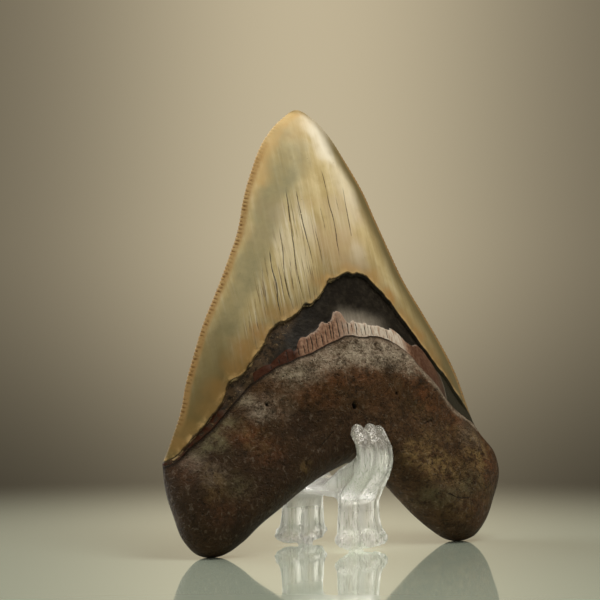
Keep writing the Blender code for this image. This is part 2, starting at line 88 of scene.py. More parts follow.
# Lines on the display face, (u, v): where the enamel ends, the top of the ribbed strip that is
# left of the band below it, and where the root begins
ENAMEL_END = (
    (-53.2, 26), (-50, 27.4), (-46, 30.6), (-42, 34.6), (-38, 38.6), (-35, 42.4), (-33.2, 46.6),
    (-30, 48.8), (-27, 52.5), (-23.5, 57), (-20.4, 61.6), (-18, 63.8), (-14, 64.9), (-10.5, 67.6),
    (-7, 69.6), (-3.5, 72.7), (-0.8, 75.9), (3, 77.4), (7.5, 78.3), (11.5, 77.7), (15.5, 75),
    (19.5, 71.6), (23.5, 67), (28.5, 61), (33, 56), (38, 50.9), (43, 46.3), (48, 41.3), (52.6, 36),
)
STRIP_TOP = (
    (-27, 49.4), (-24.5, 51), (-22, 52), (-20, 53.8), (-17, 55.4), (-14.8, 55.7), (-13, 58.2),
    (-10, 59.8), (-7, 61.6), (-5, 63.3), (-1.8, 64.4), (-0.6, 66.4), (1.6, 66.4), (3, 63.9), (6, 63.8),
    (10, 63), (16, 62), (19.5, 61.2), (22.5, 58.8), (25.5, 56.8), (29, 57.2), (32, 55.4), (35, 51.6),
    (38, 48.6),
)
ROOT_TOP = (
    (-53.2, 25), (-50, 26.2), (-46, 29.4), (-42, 32.6), (-38, 36), (-35, 39.2), (-32, 42.6), (-29, 45.4),
    (-25, 48.7), (-21, 50.9), (-17, 52.2), (-13, 53.4), (-9, 55.2), (-5, 56.9), (-1, 58.5), (3, 59.4),
    (8, 59.3), (12, 59.3), (16, 58.3), (20, 56.6), (24, 53.8), (27, 50.5), (30, 47.8), (34, 44.6),
    (38, 41.4), (41, 38.7), (44, 37.2), (48, 36.2), (52.6, 34.5),
)
LIP_ENAMEL_END = ((-53.2, 25), (-38, 31), (-22, 40.5), (0, 46.5), (6, 47), (22, 44), (40, 38), (52.6, 35))

# Thickness at the middle of the tooth, (v, w), on the display face and on the lip side
CROWN_FRONT = (
    (0, 15), (50, 15), (60, 14.2), (70, 13), (80, 11.7), (90, 10.2), (100, 8.6), (110, 6.9), (118, 5.3),
    (125, 3.4), (129, 1.7), (130.5, 0.4),
)
CROWN_BACK = ((0, 6.5), (50, 6.2), (70, 5.6), (90, 4.6), (110, 3.2), (120, 2.3), (127, 1.3), (130.5, 0.4))
ROOT_FRONT = (
    (0, 10.5), (12, 11.3), (22, 11.6), (30, 11.8), (37, 12.4), (48, 15.4), (56, 15), (64, 13.6),
    (80, 11.5), (131, 11),
)
ROOT_BACK = ((0, 7), (25, 7.4), (45, 7), (60, 5.8), (131, 5))
SIDE_THINNING = 0.42
ROOT_ROUNDING = 9.0
ROOT_MIDDLE_W = -3.0
ROOT_BLEND = 11.0

# Relief: the height or depth of each step, and how far it runs across the face
ENAMEL_STEP = 1.15
ENAMEL_RUN = 0.35
STRIP_HEIGHT = 0.55
STRIP_RUN = 0.35
ROOT_LEDGE = 0.9
LEDGE_RUN = 1.8
LIP_ENAMEL_STEP = 0.35
LUMP = 0.32
LUMP_WAVES = ((23, 0.4, 1), (15, 1.7, 2.4), (10, 2.6, 0.3), (7, 0.9, 4))  # pitch, turn, phase
LEAST_HEIGHT = 0.12
# Round hollows and swellings, each (u, v, radius, depth)
PITS = (
    (2.9, 39.1, 0.8, 2.6), (2.4, 39.8, 0.7, 1.4), (-25, 40.2, 0.9, 0.9), (17.2, 42.7, 0.8, 0.9),
    (18.3, 41.3, 0.6, 0.6), (30, 34.8, 0.6, 0.7), (28.6, 34.5, 0.5, 0.4), (3.4, 54.1, 0.5, 0.4),
)
DENTS = ((-31, 44, 7.5, 0.8), (33, 20, 10, 0.8), (-8, 29, 8, 0.5))
BUMPS = ((-26.5, 38, 6.5, 0.8), (-43, 21, 7, 0.4))

# Rings of points that follow the rim, as (depth, spacing)
RIM_RINGS = ((0.3, 0.3), (0.75, 0.4), (1.25, 0.5))

# Cracks, each a line of (u, v)
CROWN_CRACKS = (
    ((-9.3, 104.5), (-9.6, 95), (-10, 87), (-10.4, 80), (-10.3, 75), (-9.9, 70.5)),
    ((-12.7, 93.5), (-13.3, 85), (-13.9, 79), (-13.9, 74), (-13.4, 67.6)),
    ((-6.5, 104), (-6.2, 94), (-5.7, 85), (-5.5, 81)),
    ((2.9, 111), (3.3, 101), (3.8, 94), (3.6, 87), (3.3, 82)),
    ((10.2, 106), (9.8, 98), (9.5, 90)),
    ((-16.6, 86), (-16.9, 79), (-16.6, 75), (-17.2, 70), (-17.1, 65.5)),
)
FAINT_CRACKS = (
    ((-6.9, 87), (-7.3, 80), (-7, 74)),
    ((-3, 92), (-2.6, 86), (-2.5, 80)),
    ((8.7, 88), (8.5, 81.5)),
    ((16, 91), (16.2, 85), (16, 80)),
    ((-19.4, 81), (-19.9, 73), (-20.4, 66)),
    ((-21.4, 76), (-22, 69)),
    ((-22.8, 72), (-23.5, 65), (-23.3, 60.5)),
    ((-14.9, 79), (-15.2, 73), (-15, 67)),
    ((-18.2, 84), (-18.4, 75)),
    ((-25.2, 67), (-26, 60)),
    ((-11.8, 84), (-12.2, 72)),
    ((6.2, 105), (6.5, 97)),
    ((0, 99), (0.3, 90)),
    ((12.5, 98), (12.2, 88)),
)
ROOT_CRACKS = (
    ((31.8, 13.4), (33.5, 13), (35, 12.2), (37, 11.8), (40, 11.9), (43.5, 11.6)),
    ((-11.3, 26.2), (-9.5, 28), (-8, 29.5), (-6.5, 30.6), (-5, 32), (-3.5, 32.9)),
    ((-15.2, 23.3), (-13.4, 25.2)),
    ((27, 33.8), (28.6, 34.5), (30, 34.8)),
)
CRACK_DEPTH = 0.18
CRACK_HALF_WIDTH = 0.11
# Where the cracks between the ribs of the strip are, as u
RIB_CRACKS = (
    -22.4, -20.1, -17.9, -15.8, -14.2, -12.5, -11.2, -9.8, -8.1, -6.3, -4.8, -3.3, -2.4, -0.5, 1.2, 2.8,
    4.2, 5.6, 7.2, 8.5, 9.7, 10.8, 12, 13.3, 14.7, 16.2, 17.9,
)

# Serrations of the cutting edges
SERRATION_PITCH = 1.2
SERRATION_DEPTH = 0.3
SERRATION_FADE = 7.0
GROOVE_DEPTH = 0.1

# The stand: a leg's half profile as (height, outward of the waist, width, half thickness)
LEG_SECTIONS = (
    (0, -1.1, 6, 0.5), (1.2, -0.8, 7.5, 0.6), (1.9, 0.4, 16.9, 1.9), (2.7, 0.9, 19.5, 2.5),
    (3.8, 0.8, 19.5, 2.6), (5.4, 0.5, 17.9, 1.9), (8, 0.2, 16.9, 1.6), (11, 0, 16.5, 1.6),
    (13.6, 0, 16.4, 1.6), (16.6, 1.3, 16.1, 1.7), (19.6, 3.5, 15.1, 1.8), (22.6, 5.5, 13.9, 1.9),
    (25.6, 6.4, 13.6, 1.9), (28.4, 6.1, 13.4, 1.9), (31, 4.8, 13.2, 1.9), (33, 3.6, 13, 1.8),
)
WAIST_Y = 11.3
RIB_EDGES = (0.0, 16 / 36, 31 / 36, 1.0)
LIP_STRETCH = 1.7
LIP_TURN = math.radians(85)
LIP_NARROWING = 0.12
BRIDGE_WIDTH = 13.9
BRIDGE_TOP = (
    (0, 20.4), (3, 20.5), (5, 21.4), (7, 22.8), (9, 24.2), (11.5, 25.4), (14, 26.8), (16.3, 28.4),
)
BRIDGE_UNDER = ((0, 15.4), (5, 15.3), (8, 14.8), (9.4, 13.6), (10.1, 11.5), (10.6, 9), (11.3, 5))
BRIDGE_SHOULDER = 3.5
FILLET_ROUNDS = 90

# Stains by colour, with painted light in pale ones, each as (u, v, half width, half height, strength)
GREY_PATCHES = ((-5.5, 116, 6.5, 8.5, 0.95), (-9, 104, 6, 9, 0.5))
ORANGE_PATCHES = (
    (-35.5, 45, 5, 5.5, 0.95), (-39, 40.5, 4.5, 4.5, 0.7), (-31, 51.5, 4.5, 5.5, 0.8),
    (-28, 56, 4, 6, 0.9), (-23, 60.5, 4.5, 4, 0.85), (-44.5, 34.5, 5, 4, 0.6), (-48, 31, 4, 3, 0.9),
    (-16, 66.5, 7, 3, 0.5), (-2.5, 76, 5.5, 3, 0.8), (5, 79.3, 7, 2, 0.6), (15.5, 77, 6, 3.5, 0.8),
    (20.5, 72.5, 4.5, 4.5, 1), (26, 66, 5, 4, 0.7), (31.5, 60.5, 5.5, 4.5, 0.8), (38, 54.5, 6, 5, 0.6),
    (45, 47, 5.5, 6, 1), (0, 127, 7, 4, 0.35), (-5, 123, 6, 6, 0.5), (12.5, 90.5, 7, 4, 0.15),
    (17, 97.5, 4, 4, 0.35), (-4.5, 99.5, 4.5, 3.5, 0.3),
)
# Pale patches: a painted highlight at the tip and down the right edge, and paler enamel lower on the crown
PALE_AND_HIGHLIGHT_PATCHES = (
    (4, 125, 5, 6, 1.2), (6.5, 119, 5.2, 9, 1.2), (10.5, 110, 6, 11, 0.6), (13.5, 101, 5, 9, 0.7),
    (7, 97, 5, 10, 0.3), (11.2, 84, 4, 6, 0.5), (-5, 92, 3, 8, 0.5), (-12, 88, 3.5, 12, 0.4),
    (-8, 84, 2.5, 10, 0.35),
)
PINK_PATCHES = (
    (3, 86, 10, 9, 1), (11, 84, 6, 7, 0.9), (14, 98, 4, 6, 0.6), (12, 90, 7, 4, 0.3), (18, 96, 5, 7, 0.2),
    (-14.5, 97.5, 5, 6, 0.5), (-18, 91, 5, 5, 0.4), (6, 99, 8, 6, 0.4),
)
ROOT_RED = (
    (-12, 43.5, 9, 4.5, 0.8), (-5, 47, 7, 4.5, 0.8), (4, 47.5, 8, 4.5, 0.8), (-22, 39.5, 5, 4, 0.4),
    (-32, 33, 7, 5, 0.8), (-6, 41, 6, 3, 0.5), (-15, 36, 7, 5, 0.1), (22.5, 47.5, 5.5, 4.5, 0.9),
    (27, 43, 4.5, 5, 1), (30, 39.5, 4, 3.5, 0.8), (-49, 24, 4, 6, 0.3), (50.5, 21, 5, 6, 0.6),
    (45, 8, 7, 6, 0.4), (38, 36, 6, 5, 0.5), (-40, 12, 7, 6, 0.25), (-20, 45, 5, 4, 0.4),
    (12, 44, 8, 6, 0.4), (-26, 27, 7, 6, 0.4), (-5, 53, 4, 2.5, 0.4),
)
# Pale patches: painted light on the root's top bulge, a painted highlight on the left bump, and pale
# speckles
ROOT_PALE_AND_LIT = (
    (-15, 48.5, 10, 4.5, 0.8), (-5, 53, 10, 5.5, 1), (5, 55, 11, 6, 1.2), (15, 54.5, 10, 6, 1.2),
    (22.5, 51.5, 6, 5, 1), (-26.5, 38.2, 6, 3.2, 0.75), (-22, 40, 6, 5, 0.35), (-29.5, 41, 4, 3, 0.5),
    (-42, 22, 5, 4, 0.2), (-17, 45.5, 7, 4, 0.4), (-47, 26, 4, 4, 0.3), (45, 30, 6, 5, 0.25),
)
ROOT_OCHRE = (
    (22, 26, 5.5, 4.5, 0.8), (29.5, 22.5, 8, 5.5, 1), (34.5, 19, 6, 5, 0.6), (-42.5, 19.5, 3.5, 6, 0.4),
    (-15, 22.5, 3, 3, 0.5), (-29, 30, 5, 4, 0.3), (36, 31, 5, 4, 0.4), (27, 30.5, 5, 3, 0.4),
    (46, 25.5, 6.5, 7, 1), (26, 38, 5, 4, 0.2), (38, 9, 7, 5, 0.35), (47, 14, 5, 6, 0.3),
)
ROOT_GREEN = (
    (-42, 30.5, 7, 4.5, 0.9), (-36, 35.5, 6, 4, 0.8), (-31, 41.5, 4, 3, 0.6), (31, 13.5, 9, 4, 0.7),
    (41, 16, 6, 5, 0.6), (-20, 49, 8, 2.5, 0.5), (-36, 18, 5, 5, 0.4),
)
ROOT_DARK = (
    (-25, 22, 14, 10, 0.85), (-35, 7, 15, 10, 0.95), (-14, 34.5, 10, 6, 1), (-36, 22, 9, 7, 0.4),
    (-8, 28, 10, 6, 0.7), (40, 3, 9, 4, 0.5), (-47, 16, 4, 6, 0.5),
)
# How far the grey band reaches from the left edge and the shaded one from the right, (v, width)
GREY_REACH = ((0, 9), (60, 10), (90, 10.5), (100, 11), (110, 15), (118, 13))
SHADED_REACH = ((0, 11.5), (92, 11), (106, 10), (118, 9), (131, 6))

# The stage, in metres: the lights as (name, place, target, size, power, colour) and the camera
LIGHTS = (
    ("key", (0.05, -0.12, 0.38), (0.0, 0.0, 0.09), (0.22, 0.22), 1.15, (1.0, 0.95, 0.86)),
    ("back_left", (-0.34, 0.42, 0.26), (0.0, 0.0, 0.03), (0.6, 0.6), 3.4, (1.0, 0.98, 0.94)),
    ("fill", (-0.60, -0.55, 0.24), (0.0, 0.0, 0.04), (0.07, 0.70), 0.75, (0.95, 0.98, 1.0)),
)
FLOOR_MIDDLE = (-0.051, -0.086, 0.0)
CAMERA_PLACE = (-0.25814, -0.41679, 0.05497)
CAMERA_TURN = (91.853, 0.0, -30.547)
CAMERA_LENS = 102.0

# The background: the direction of its pool of light, how narrow that is, and how bright the walls
# out of sight to both sides are
WALL_TURN = math.radians(30.9)
POOL_FOCUS = 116.0
LEFT_WALL, RIGHT_WALL = 1.35, 0.9


# ---------------------------------------------------------------- lines and fields


def ramp(value, low, high):
    """0 at low and 1 at high, with a smooth change between; high may be the lower one."""
    share = np.clip((value - low) / (high - low), 0.0, 1.0)
    return share * share * (3.0 - 2.0 * share)


def flow(keys, x):
    """A smooth curve through keys, (x, value) in order of x, read at each x."""
    at, value = np.asarray(keys, float).T
    slope = np.gradient(value, at)
    x = np.clip(x, at[0], at[-1])
    i = np.clip(np.searchsorted(at, x, side="right") - 1, 0, len(at) - 2)
    width = at[i + 1] - at[i]
    t = (x - at[i]) / width
    start = value[i] * (1 + 2 * t) * (1 - t) ** 2 + slope[i] * width * t * (1 - t) ** 2
    return start + value[i + 1] * t * t * (3 - 2 * t) + slope[i + 1] * width * t * t * (t - 1)


def lengths_along(line):
    """How far along a line each of its points is."""
    return np.concatenate([[0.0], np.cumsum(np.linalg.norm(np.diff(line, axis=0), axis=1))])


def read_along(line, along, at):
    """A line's points at the given places, where along says how far along each known point is."""
    return np.stack([np.interp(at, along, axis) for axis in line.T], 1)


def drawn(points, step):
    """Points about one step apart, evenly along a smooth line through the given ones."""
    points = np.asarray(points, float)
    knots = lengths_along(points)
    fine = np.linspace(0.0, knots[-1], 40 * len(points))
    line = np.stack([flow(np.stack([knots, axis], 1), fine) for axis in points.T], 1)
    along = lengths_along(line)
    return read_along(line, along, np.linspace(0.0, along[-1], 1 + round(along[-1] / step)))


def outward(line):
    """The unit normal at each point of a line, to the left of its direction."""
    ahead = np.gradient(line, axis=0)
    ahead /= np.linalg.norm(ahead, axis=1)[:, None]
    return np.stack([-ahead[:, 1], ahead[:, 0]], 1)


def noise_at(points):
    """Blender's smooth noise at each point, between about -0.5 and 0.5."""
    return np.array([noise.noise(Vector(p)) for p in points])


def roughness_at(points, size, seed):
    """Smooth random values between about -1 and 1, with features of the given size."""
    scaled = np.column_stack([np.asarray(points, float) / size, np.full(len(points), seed * 7.31)])
    return noise_at(scaled) * 1.9


def grain_at(points, size, seed, octaves=4):
    """Fractal random values, the largest features of the given size."""
    return sum(roughness_at(points, size / 2**k, seed + k) / 1.7**k for k in range(octaves)) / 2.0


def nearest_on(points, line, closed=True):
    """Each point's distance from a line of straight pieces, and the piece and share where it is."""
    ends = np.roll(line, -1, axis=0) if closed else line[1:]
    starts = line if closed else line[:-1]
    along = ends - starts
    reach = (along**2).sum(1)
    found = []
    for first in range(0, len(points), CHUNK):
        gap = points[first : first + CHUNK, None] - starts[None]
        part = np.clip((gap * along).sum(2) / reach, 0.0, 1.0)
        away = np.linalg.norm(gap - along * part[..., None], axis=2)
        piece = away.argmin(1)
        rows = np.arange(len(piece))
        found.append((away[rows, piece], piece, part[rows, piece]))
    return [np.concatenate(column) for column in zip(*found, strict=True)]


def inside(points, loop):
    """Whether each point lies inside a closed loop."""
    x0, y0 = loop.T
    x1, y1 = np.roll(loop, -1, axis=0).T
    found = []
    for first in range(0, len(points), CHUNK):
        x, y = points[first : first + CHUNK].T[:, :, None]
        reach = x0 + (x1 - x0) * (y - y0) / np.where(y1 == y0, 1.0, y1 - y0)
        found.append((((y0 > y) != (y1 > y)) & (x < reach)).sum(1) % 2 == 1)
    return np.concatenate(found)


def spaced(points, gap, others=None):
    """The points at least a gap from every other one given or, without those, from each other."""
    known = points if others is None else others
    cells, kept = {}, []
    if others is not None:
        for k, cell in enumerate(map(tuple, np.floor(others / gap).astype(int))):
            cells.setdefault(cell, []).append(k)
    for k, (x, y) in enumerate(np.floor(points / gap).astype(int)):
        near = [i for dx in (-1, 0, 1) for dy in (-1, 0, 1) for i in cells.get((x + dx, y + dy), ())]
        if not near or (np.hypot(*(known[near] - points[k]).T) > gap).all():
            kept.append(k)
            if others is None:
                cells.setdefault((x, y), []).append(k)
    return points[kept]


# ---------------------------------------------------------------- the tooth's shape


def ragged(u, size, depth, seed):
    """How far a broken edge strays from its smooth line, read across the tooth."""
    points = np.column_stack([np.ravel(u), np.zeros(np.size(u))])
    wander = roughness_at(points, size, seed) + 0.5 * roughness_at(points, size * 0.37, seed + 1)
    return depth * wander.reshape(np.shape(u))


def off_sides(u):
    """1 over most of the width and 0 at the tooth's sides, where a broken edge ends smoothly."""
    return ramp(u, -52.0, -44.0) * ramp(u, 52.0, 44.0)


def enamel_end(u):
    """The broken lower edge of the enamel on the display face."""
    return flow(ENAMEL_END, u) + off_sides(u) * ragged(u, 4.2, 0.5, 1.0)


def root_top(u):
    """The upper edge of the root on the display face."""
    return flow(ROOT_TOP, u) + off_sides(u) * ragged(u, 6.0, 0.3, 5.0)


def strip_top(u):
    """The upper edge of the ribbed strip, which steps up and down from rib to rib."""
    rib = np.searchsorted(RIB_CRACKS, u)
    step = 0.4 * np.sin(12.9898 * rib) * np.sin(4.1 * rib + 1.0)
    return flow(STRIP_TOP, u) + step + ragged(u, 2.0, 0.18, 9.0)


def lip_enamel_end(u):
    """The lower edge of the enamel on the lip side."""
    return flow(LIP_ENAMEL_END, u) + ragged(u, 5.0, 0.35, 12.0)


def above(line, keys, u, v):
    """Each point's height over a broken line, square to the smooth line through its keys."""
    slope = flow(keys, u + 0.5) - flow(keys, u - 0.5)
    height = v - (flow(keys, u) if line is None else line(u))
    return height / np.hypot(1.0, slope)


def notched(along):
    """How deep in a notch of the cutting edge a place along it is, from 0 to 1."""
    return 1.0 - np.abs(np.cos(math.pi * along / SERRATION_PITCH)) ** 0.7


def tooth_rim(step):
    """The outline as one closed loop, clockwise, and how far along the crown's edge each point is."""
    line = drawn(CROWN_EDGE, step)
    along = lengths_along(line)
    size = SERRATION_DEPTH * ramp(np.minimum(along, along[-1] - along), 0.0, SERRATION_FADE)
    size *= ramp(np.linalg.norm(line - (TIP_U, TIP_V), axis=1), 0.0, SERRATION_FADE)
    size *= 0.85 + 0.3 * roughness_at(np.column_stack([along, along * 0.0]), 9.0, 3.0)
    root = drawn(ROOT_EDGE, 0.6)[1:-1]
    rim = np.concatenate([line - outward(line) * (notched(along) * size)[:, None], root])
    return rim, np.concatenate([along, np.full(len(root), along[-1])])


def centring(rim):
    """How far the outline moves in x for its middle to be on 0."""
    return -(rim[:, 0].min() + rim[:, 0].max()) / 2


def across(u, v):
    """Where a point is across the tooth: 0 in the middle, -1 and 1 at its sides."""
    low, high = flow(ROOT_LEFT + CROWN_LEFT, v), flow(ROOT_RIGHT + CROWN_RIGHT, v)
    return np.clip((2 * u - low - high) / np.maximum(high - low, 0.5), -1.0, 1.0)


def lumps(u, v):
    """Slow, uneven swellings of the fossil's surface, between about -1 and 1."""
    total = np.zeros_like(u)
    for pitch, turn, phase in LUMP_WAVES:
        ahead = u * math.cos(turn) + v * math.sin(turn)
        side = v * math.cos(turn) - u * math.sin(turn)
        total += np.sin(6.283 * ahead / pitch + phase) * np.sin(5.1 * side / pitch + 2 * phase) * pitch
    return total / 40.0


def hollows(u, v, spots):
    """The depth of round pits, each given as (u, v, radius, depth)."""
    depth = np.zeros_like(u)
    for at_u, at_v, radius, deep in spots:
        depth += deep * ramp(np.hypot(u - at_u, v - at_v) / radius, 1.0, 0.15)
    return depth


def rounded(distance, reach):
    """A quarter circle's rise from 0 at the rim to 1 at reach."""
    share = 1.0 - np.clip(distance / reach, 0.0, 1.0)
    return np.sqrt(1.0 - share * share)


def crack_lines():
    """Every crack as a fine line with its strength: those of the crown, the root and between ribs."""
    lines = []
    for group, strength in ((CROWN_CRACKS, 1.0), (FAINT_CRACKS, 0.5), (ROOT_CRACKS, 1.0)):
        for points in group:
            line = drawn(points, 0.5)
            line[:, 0] += 0.1 * roughness_at(line, 4.0, 21.0)
            lines.append((line, strength))
    for k, u in enumerate(RIB_CRACKS):
        low, high = root_top(np.array([u]))[0] + 0.2, strip_top(np.array([u + 0.05]))[0] - 0.1
        high -= (high - low) * max(0.0, 0.4 * math.sin(7.7 * k + 1.0))
        if high - low > 0.9:
            v = np.arange(low, high, 0.4)
            wander = 0.13 * roughness_at(np.column_stack([v, v * 0.0 + 9.0 * k]), 1.7, 22.0)
            strength = 0.8 + 0.2 * math.sin(3.1 * k) - 0.4 * (u > 11.5)
            lines.append((np.column_stack([u + wander, v]), strength))
    return lines


def crack_share(points, cracks):
    """How deep in a crack each point is, from 0 to 1."""
    depth = np.zeros(len(points))
    for line, strength in cracks:
        low, high = line.min(0) - 1.0, line.max(0) + 1.0
        near = np.nonzero(((points > low) & (points < high)).all(1))[0]
        if len(near):
            away, piece, share = nearest_on(points[near], line, closed=False)
            ends = (piece + share) / max(1, len(line) - 1)
            fade = ramp(ends, -0.03, 0.14) * (1.0 - 0.5 * ramp(ends, 0.75, 1.0))
            fade = np.clip(fade * (0.8 + 0.35 * roughness_at(points[near], 3.5, 23.0)), 0.1, 1.0)
            deep = ramp(away, CRACK_HALF_WIDTH * (1.1 + 0.7 * strength), 0.0) * fade * strength
            depth[near] = np.maximum(depth[near], deep)
    return depth


def serration_grooves(rim, along, v):
    """The notches of the cutting edge, running a little way up each face."""
    reach = ramp(rim, 0.0, 0.3) * ramp(rim, 1.9, 0.7) * ramp(v, 28.0, 40.0)
    return GROOVE_DEPTH * notched(along) * reach


def display_height(points, rim, along, crack):
    """How far the display face stands in front of the tooth's middle surface."""
    u, v = points.T
    q = across(u, v)
    crown = flow(CROWN_FRONT, v) * (1.0 - q * q) ** 1.05 + 0.25 * rounded(rim, 1.0)
    root = flow(ROOT_FRONT, v) * (1.0 - SIDE_THINNING * q**2) * rounded(rim, ROOT_ROUNDING)
    bulk = ramp(above(None, ENAMEL_END, u, v), -ROOT_BLEND, 3.0)
    height = root * (1.0 - bulk) + crown * bulk
    below_enamel = ramp(above(enamel_end, ENAMEL_END, u, v), 0.0, -ENAMEL_RUN)
    on_root = ramp(above(root_top, ROOT_TOP, u, v), 0.0, -LEDGE_RUN)
    on_strip = ramp(above(strip_top, STRIP_TOP, u, v), 0.0, -STRIP_RUN)
    on_strip = on_strip * ramp(u, -28.0, -25.0) * ramp(u, 38.0, 34.0)
    ledges = STRIP_HEIGHT * on_strip * below_enamel + ROOT_LEDGE * on_root - ENAMEL_STEP * below_enamel
    height += ledges * ramp(rim, 0.5, 5.0)
    height += LUMP * lumps(u, v) * on_root * ramp(rim, 0.0, 8.0)
    height -= (hollows(u, v, PITS + DENTS) - hollows(u, v, BUMPS)) * ramp(rim, 0.5, 4.0)
    # Fine relief: worn, sandy root; broken left end of the strip; faint waves in the enamel
    relief = (0.16 * grain_at(points, 3.4, 31.0) + 0.09 * grain_at(points, 1.5, 33.0, 2)) * on_root
    bare = below_enamel * (1.0 - on_root)
    relief += 0.2 * grain_at(points, 1.9, 37.0) * bare * ramp(u, -18.0, -30.0)
    relief += 0.05 * roughness_at(points * (1.0, 0.12), 1.6, 41.0) * (1.0 - below_enamel)
    relief += 0.06 * grain_at(points, 5.0, 43.0) * bare
    height += relief * ramp(rim, 0.3, 2.5) - CRACK_DEPTH * crack
    return np.maximum(height - serration_grooves(rim, along, v), LEAST_HEIGHT)


def lip_height(points, rim, along):
    """How far the lip side stands behind the tooth's middle surface."""
    u, v = points.T
    q = across(u, v)
    over_enamel_end = above(lip_enamel_end, LIP_ENAMEL_END, u, v)
    crown = flow(CROWN_BACK, v) * (1.0 - q * q) ** 0.8 + 0.2 * rounded(rim, 1.0)
    root = flow(ROOT_BACK, v) * (1.0 - 0.3 * q**2) * rounded(rim, ROOT_ROUNDING)
    bulk = ramp(over_enamel_end, -ROOT_BLEND, 3.0)
    below_enamel = ramp(over_enamel_end, 0.0, -ENAMEL_RUN)
    height = root * (1.0 - bulk) + crown * bulk
    height -= LIP_ENAMEL_STEP * below_enamel * ramp(rim, 0.5, 5.0)
    height += LUMP * lumps(u + 31.0, v - 17.0) * below_enamel * ramp(rim, 0.0, 8.0)
    relief = 0.15 * grain_at(points, 3.4, 51.0) * below_enamel
    relief += 0.04 * roughness_at(points * (1.0, 0.12), 1.8, 53.0) * (1.0 - below_enamel)
    height += relief * ramp(rim, 0.3, 2.5)
    return np.maximum(height - serration_grooves(rim, along, v), LEAST_HEIGHT)


def middle_surface(v):
    """Where the rim lies through the thickness: further forward at the root than at the crown."""
    return ROOT_MIDDLE_W * ramp(v, 45.0, 8.0)


def face_points(rim, cracks, step):
    """Points over the flat outline: rows along the breaks and cracks, rings along the rim, a grid."""
    us = np.linspace(-51.0, 51.0, 900)
    rows = []
    for line, keys, offsets in (
        (enamel_end, ENAMEL_END, (0.0, -ENAMEL_RUN, 0.35, -0.8)),
        (root_top, ROOT_TOP, (0.0, -LEDGE_RUN * 0.5, -LEDGE_RUN)),
        (strip_top, STRIP_TOP, (0.0, -STRIP_RUN)),
    ):
        reach = us[(us > keys[0][0] + 1.0) & (us < keys[-1][0] - 1.0)]
        smooth = np.column_stack([reach, flow(keys, reach)])
        along = lengths_along(smooth)
        even = np.linspace(0.0, along[-1], int(along[-1] / 0.4))
        broken = read_along(np.column_stack([reach, line(reach)]), along, even)
        normal = outward(read_along(smooth, along, even))
        rows += [broken + normal * offset for offset in offsets]
    for line, _ in cracks:
        reach = CRACK_HALF_WIDTH * np.array([0.0, 1.0, -1.0, 2.3, -2.3])
        rows += [line + outward(line) * offset for offset in reach]
    kept = spaced(np.concatenate(rows), 0.11)
    kept = kept[inside(kept, rim)]
    kept = kept[nearest_on(kept, rim)[0] > 0.7]
    normal = outward(np.concatenate([rim, rim[:1]]))[:-1]
    for depth, spacing in RIM_RINGS:
        line = rim - normal * depth
        along = lengths_along(line)
        ring = read_along(line, along, np.arange(0.0, along[-1], spacing))
        ring = ring[inside(ring, rim)]
        ring = ring[nearest_on(ring, rim)[0] > 0.75 * depth]
        kept = np.concatenate([kept, spaced(ring, 0.6 * spacing, kept)])
    rows = enumerate(np.arange(0.5, TIP_V, step * 0.866))
    grid = np.array([(u + step / 2 * (k % 2), v) for k, v in rows for u in np.arange(-60.0, 60.0, step)])
    grid = grid[inside(grid, rim)]
    grid = grid[nearest_on(grid, rim[::2])[0] > RIM_RINGS[-1][0] + 0.5 * step]
    return np.concatenate([kept, spaced(grid, 0.5 * step, kept)])


def flat_triangles(rim, points):
    """The outline cut into triangles, as (points, triangles, which are on the rim)."""
    count = len(rim)
    loop = [(i, (i + 1) % count) for i in range(count)]
    while True:
        made = delaunay_2d_cdt([tuple(p) for p in np.concatenate([rim, points])], loop, [], 1, 1e-6)
        found = np.array([tuple(p) for p in made[0]])
        triangles = np.array([tuple(face) for face in made[2]])
        on_rim = np.array([any(k < count for k in source) for source in made[3]])
        original = np.array([min(source) if source else -1 for source in made[3]])
        # An edge between two distant rim points would join both faces, so its middle is added
        pairs = np.concatenate([triangles[:, [0, 1]], triangles[:, [1, 2]], triangles[:, [2, 0]]])
        both = pairs[on_rim[pairs].all(1)]
        step = np.abs(original[both[:, 0]] - original[both[:, 1]])
        crossing = both[(step != 1) & (step != count - 1)]
        if not len(crossing):
            return found, triangles, on_rim
        middles = (found[crossing[:, 0]] + found[crossing[:, 1]]) / 2
        points = np.concatenate([points, np.unique(middles.round(4), axis=0)])


def leaning(u, v, w, width_shift):
    """The tooth's own (u, v, w) in the object's frame, before it is set on the ground."""
    y = EDGE_PLANE_Y + v * math.sin(LEAN) + w * math.cos(LEAN) - MIDDLE_Y
    return np.stack([u + width_shift, y, v * math.cos(LEAN) - w * math.sin(LEAN)], 1)


# ---------------------------------------------------------------- the tooth's stains, painted light and painted shade


def patches(points, spots):
    """Soft-edged patches, each (u, v, half width, half height, strength), with uneven borders."""
    total = np.zeros(len(points))
    wander = 0.35 * grain_at(points, 6.0, 61.0)
    for at_u, at_v, half_u, half_v, strength in spots:
        away = np.hypot((points[:, 0] - at_u) / half_u, (points[:, 1] - at_v) / half_v)
        total = np.maximum(total, strength * ramp(away + wander, 1.25, 0.2))
    return total


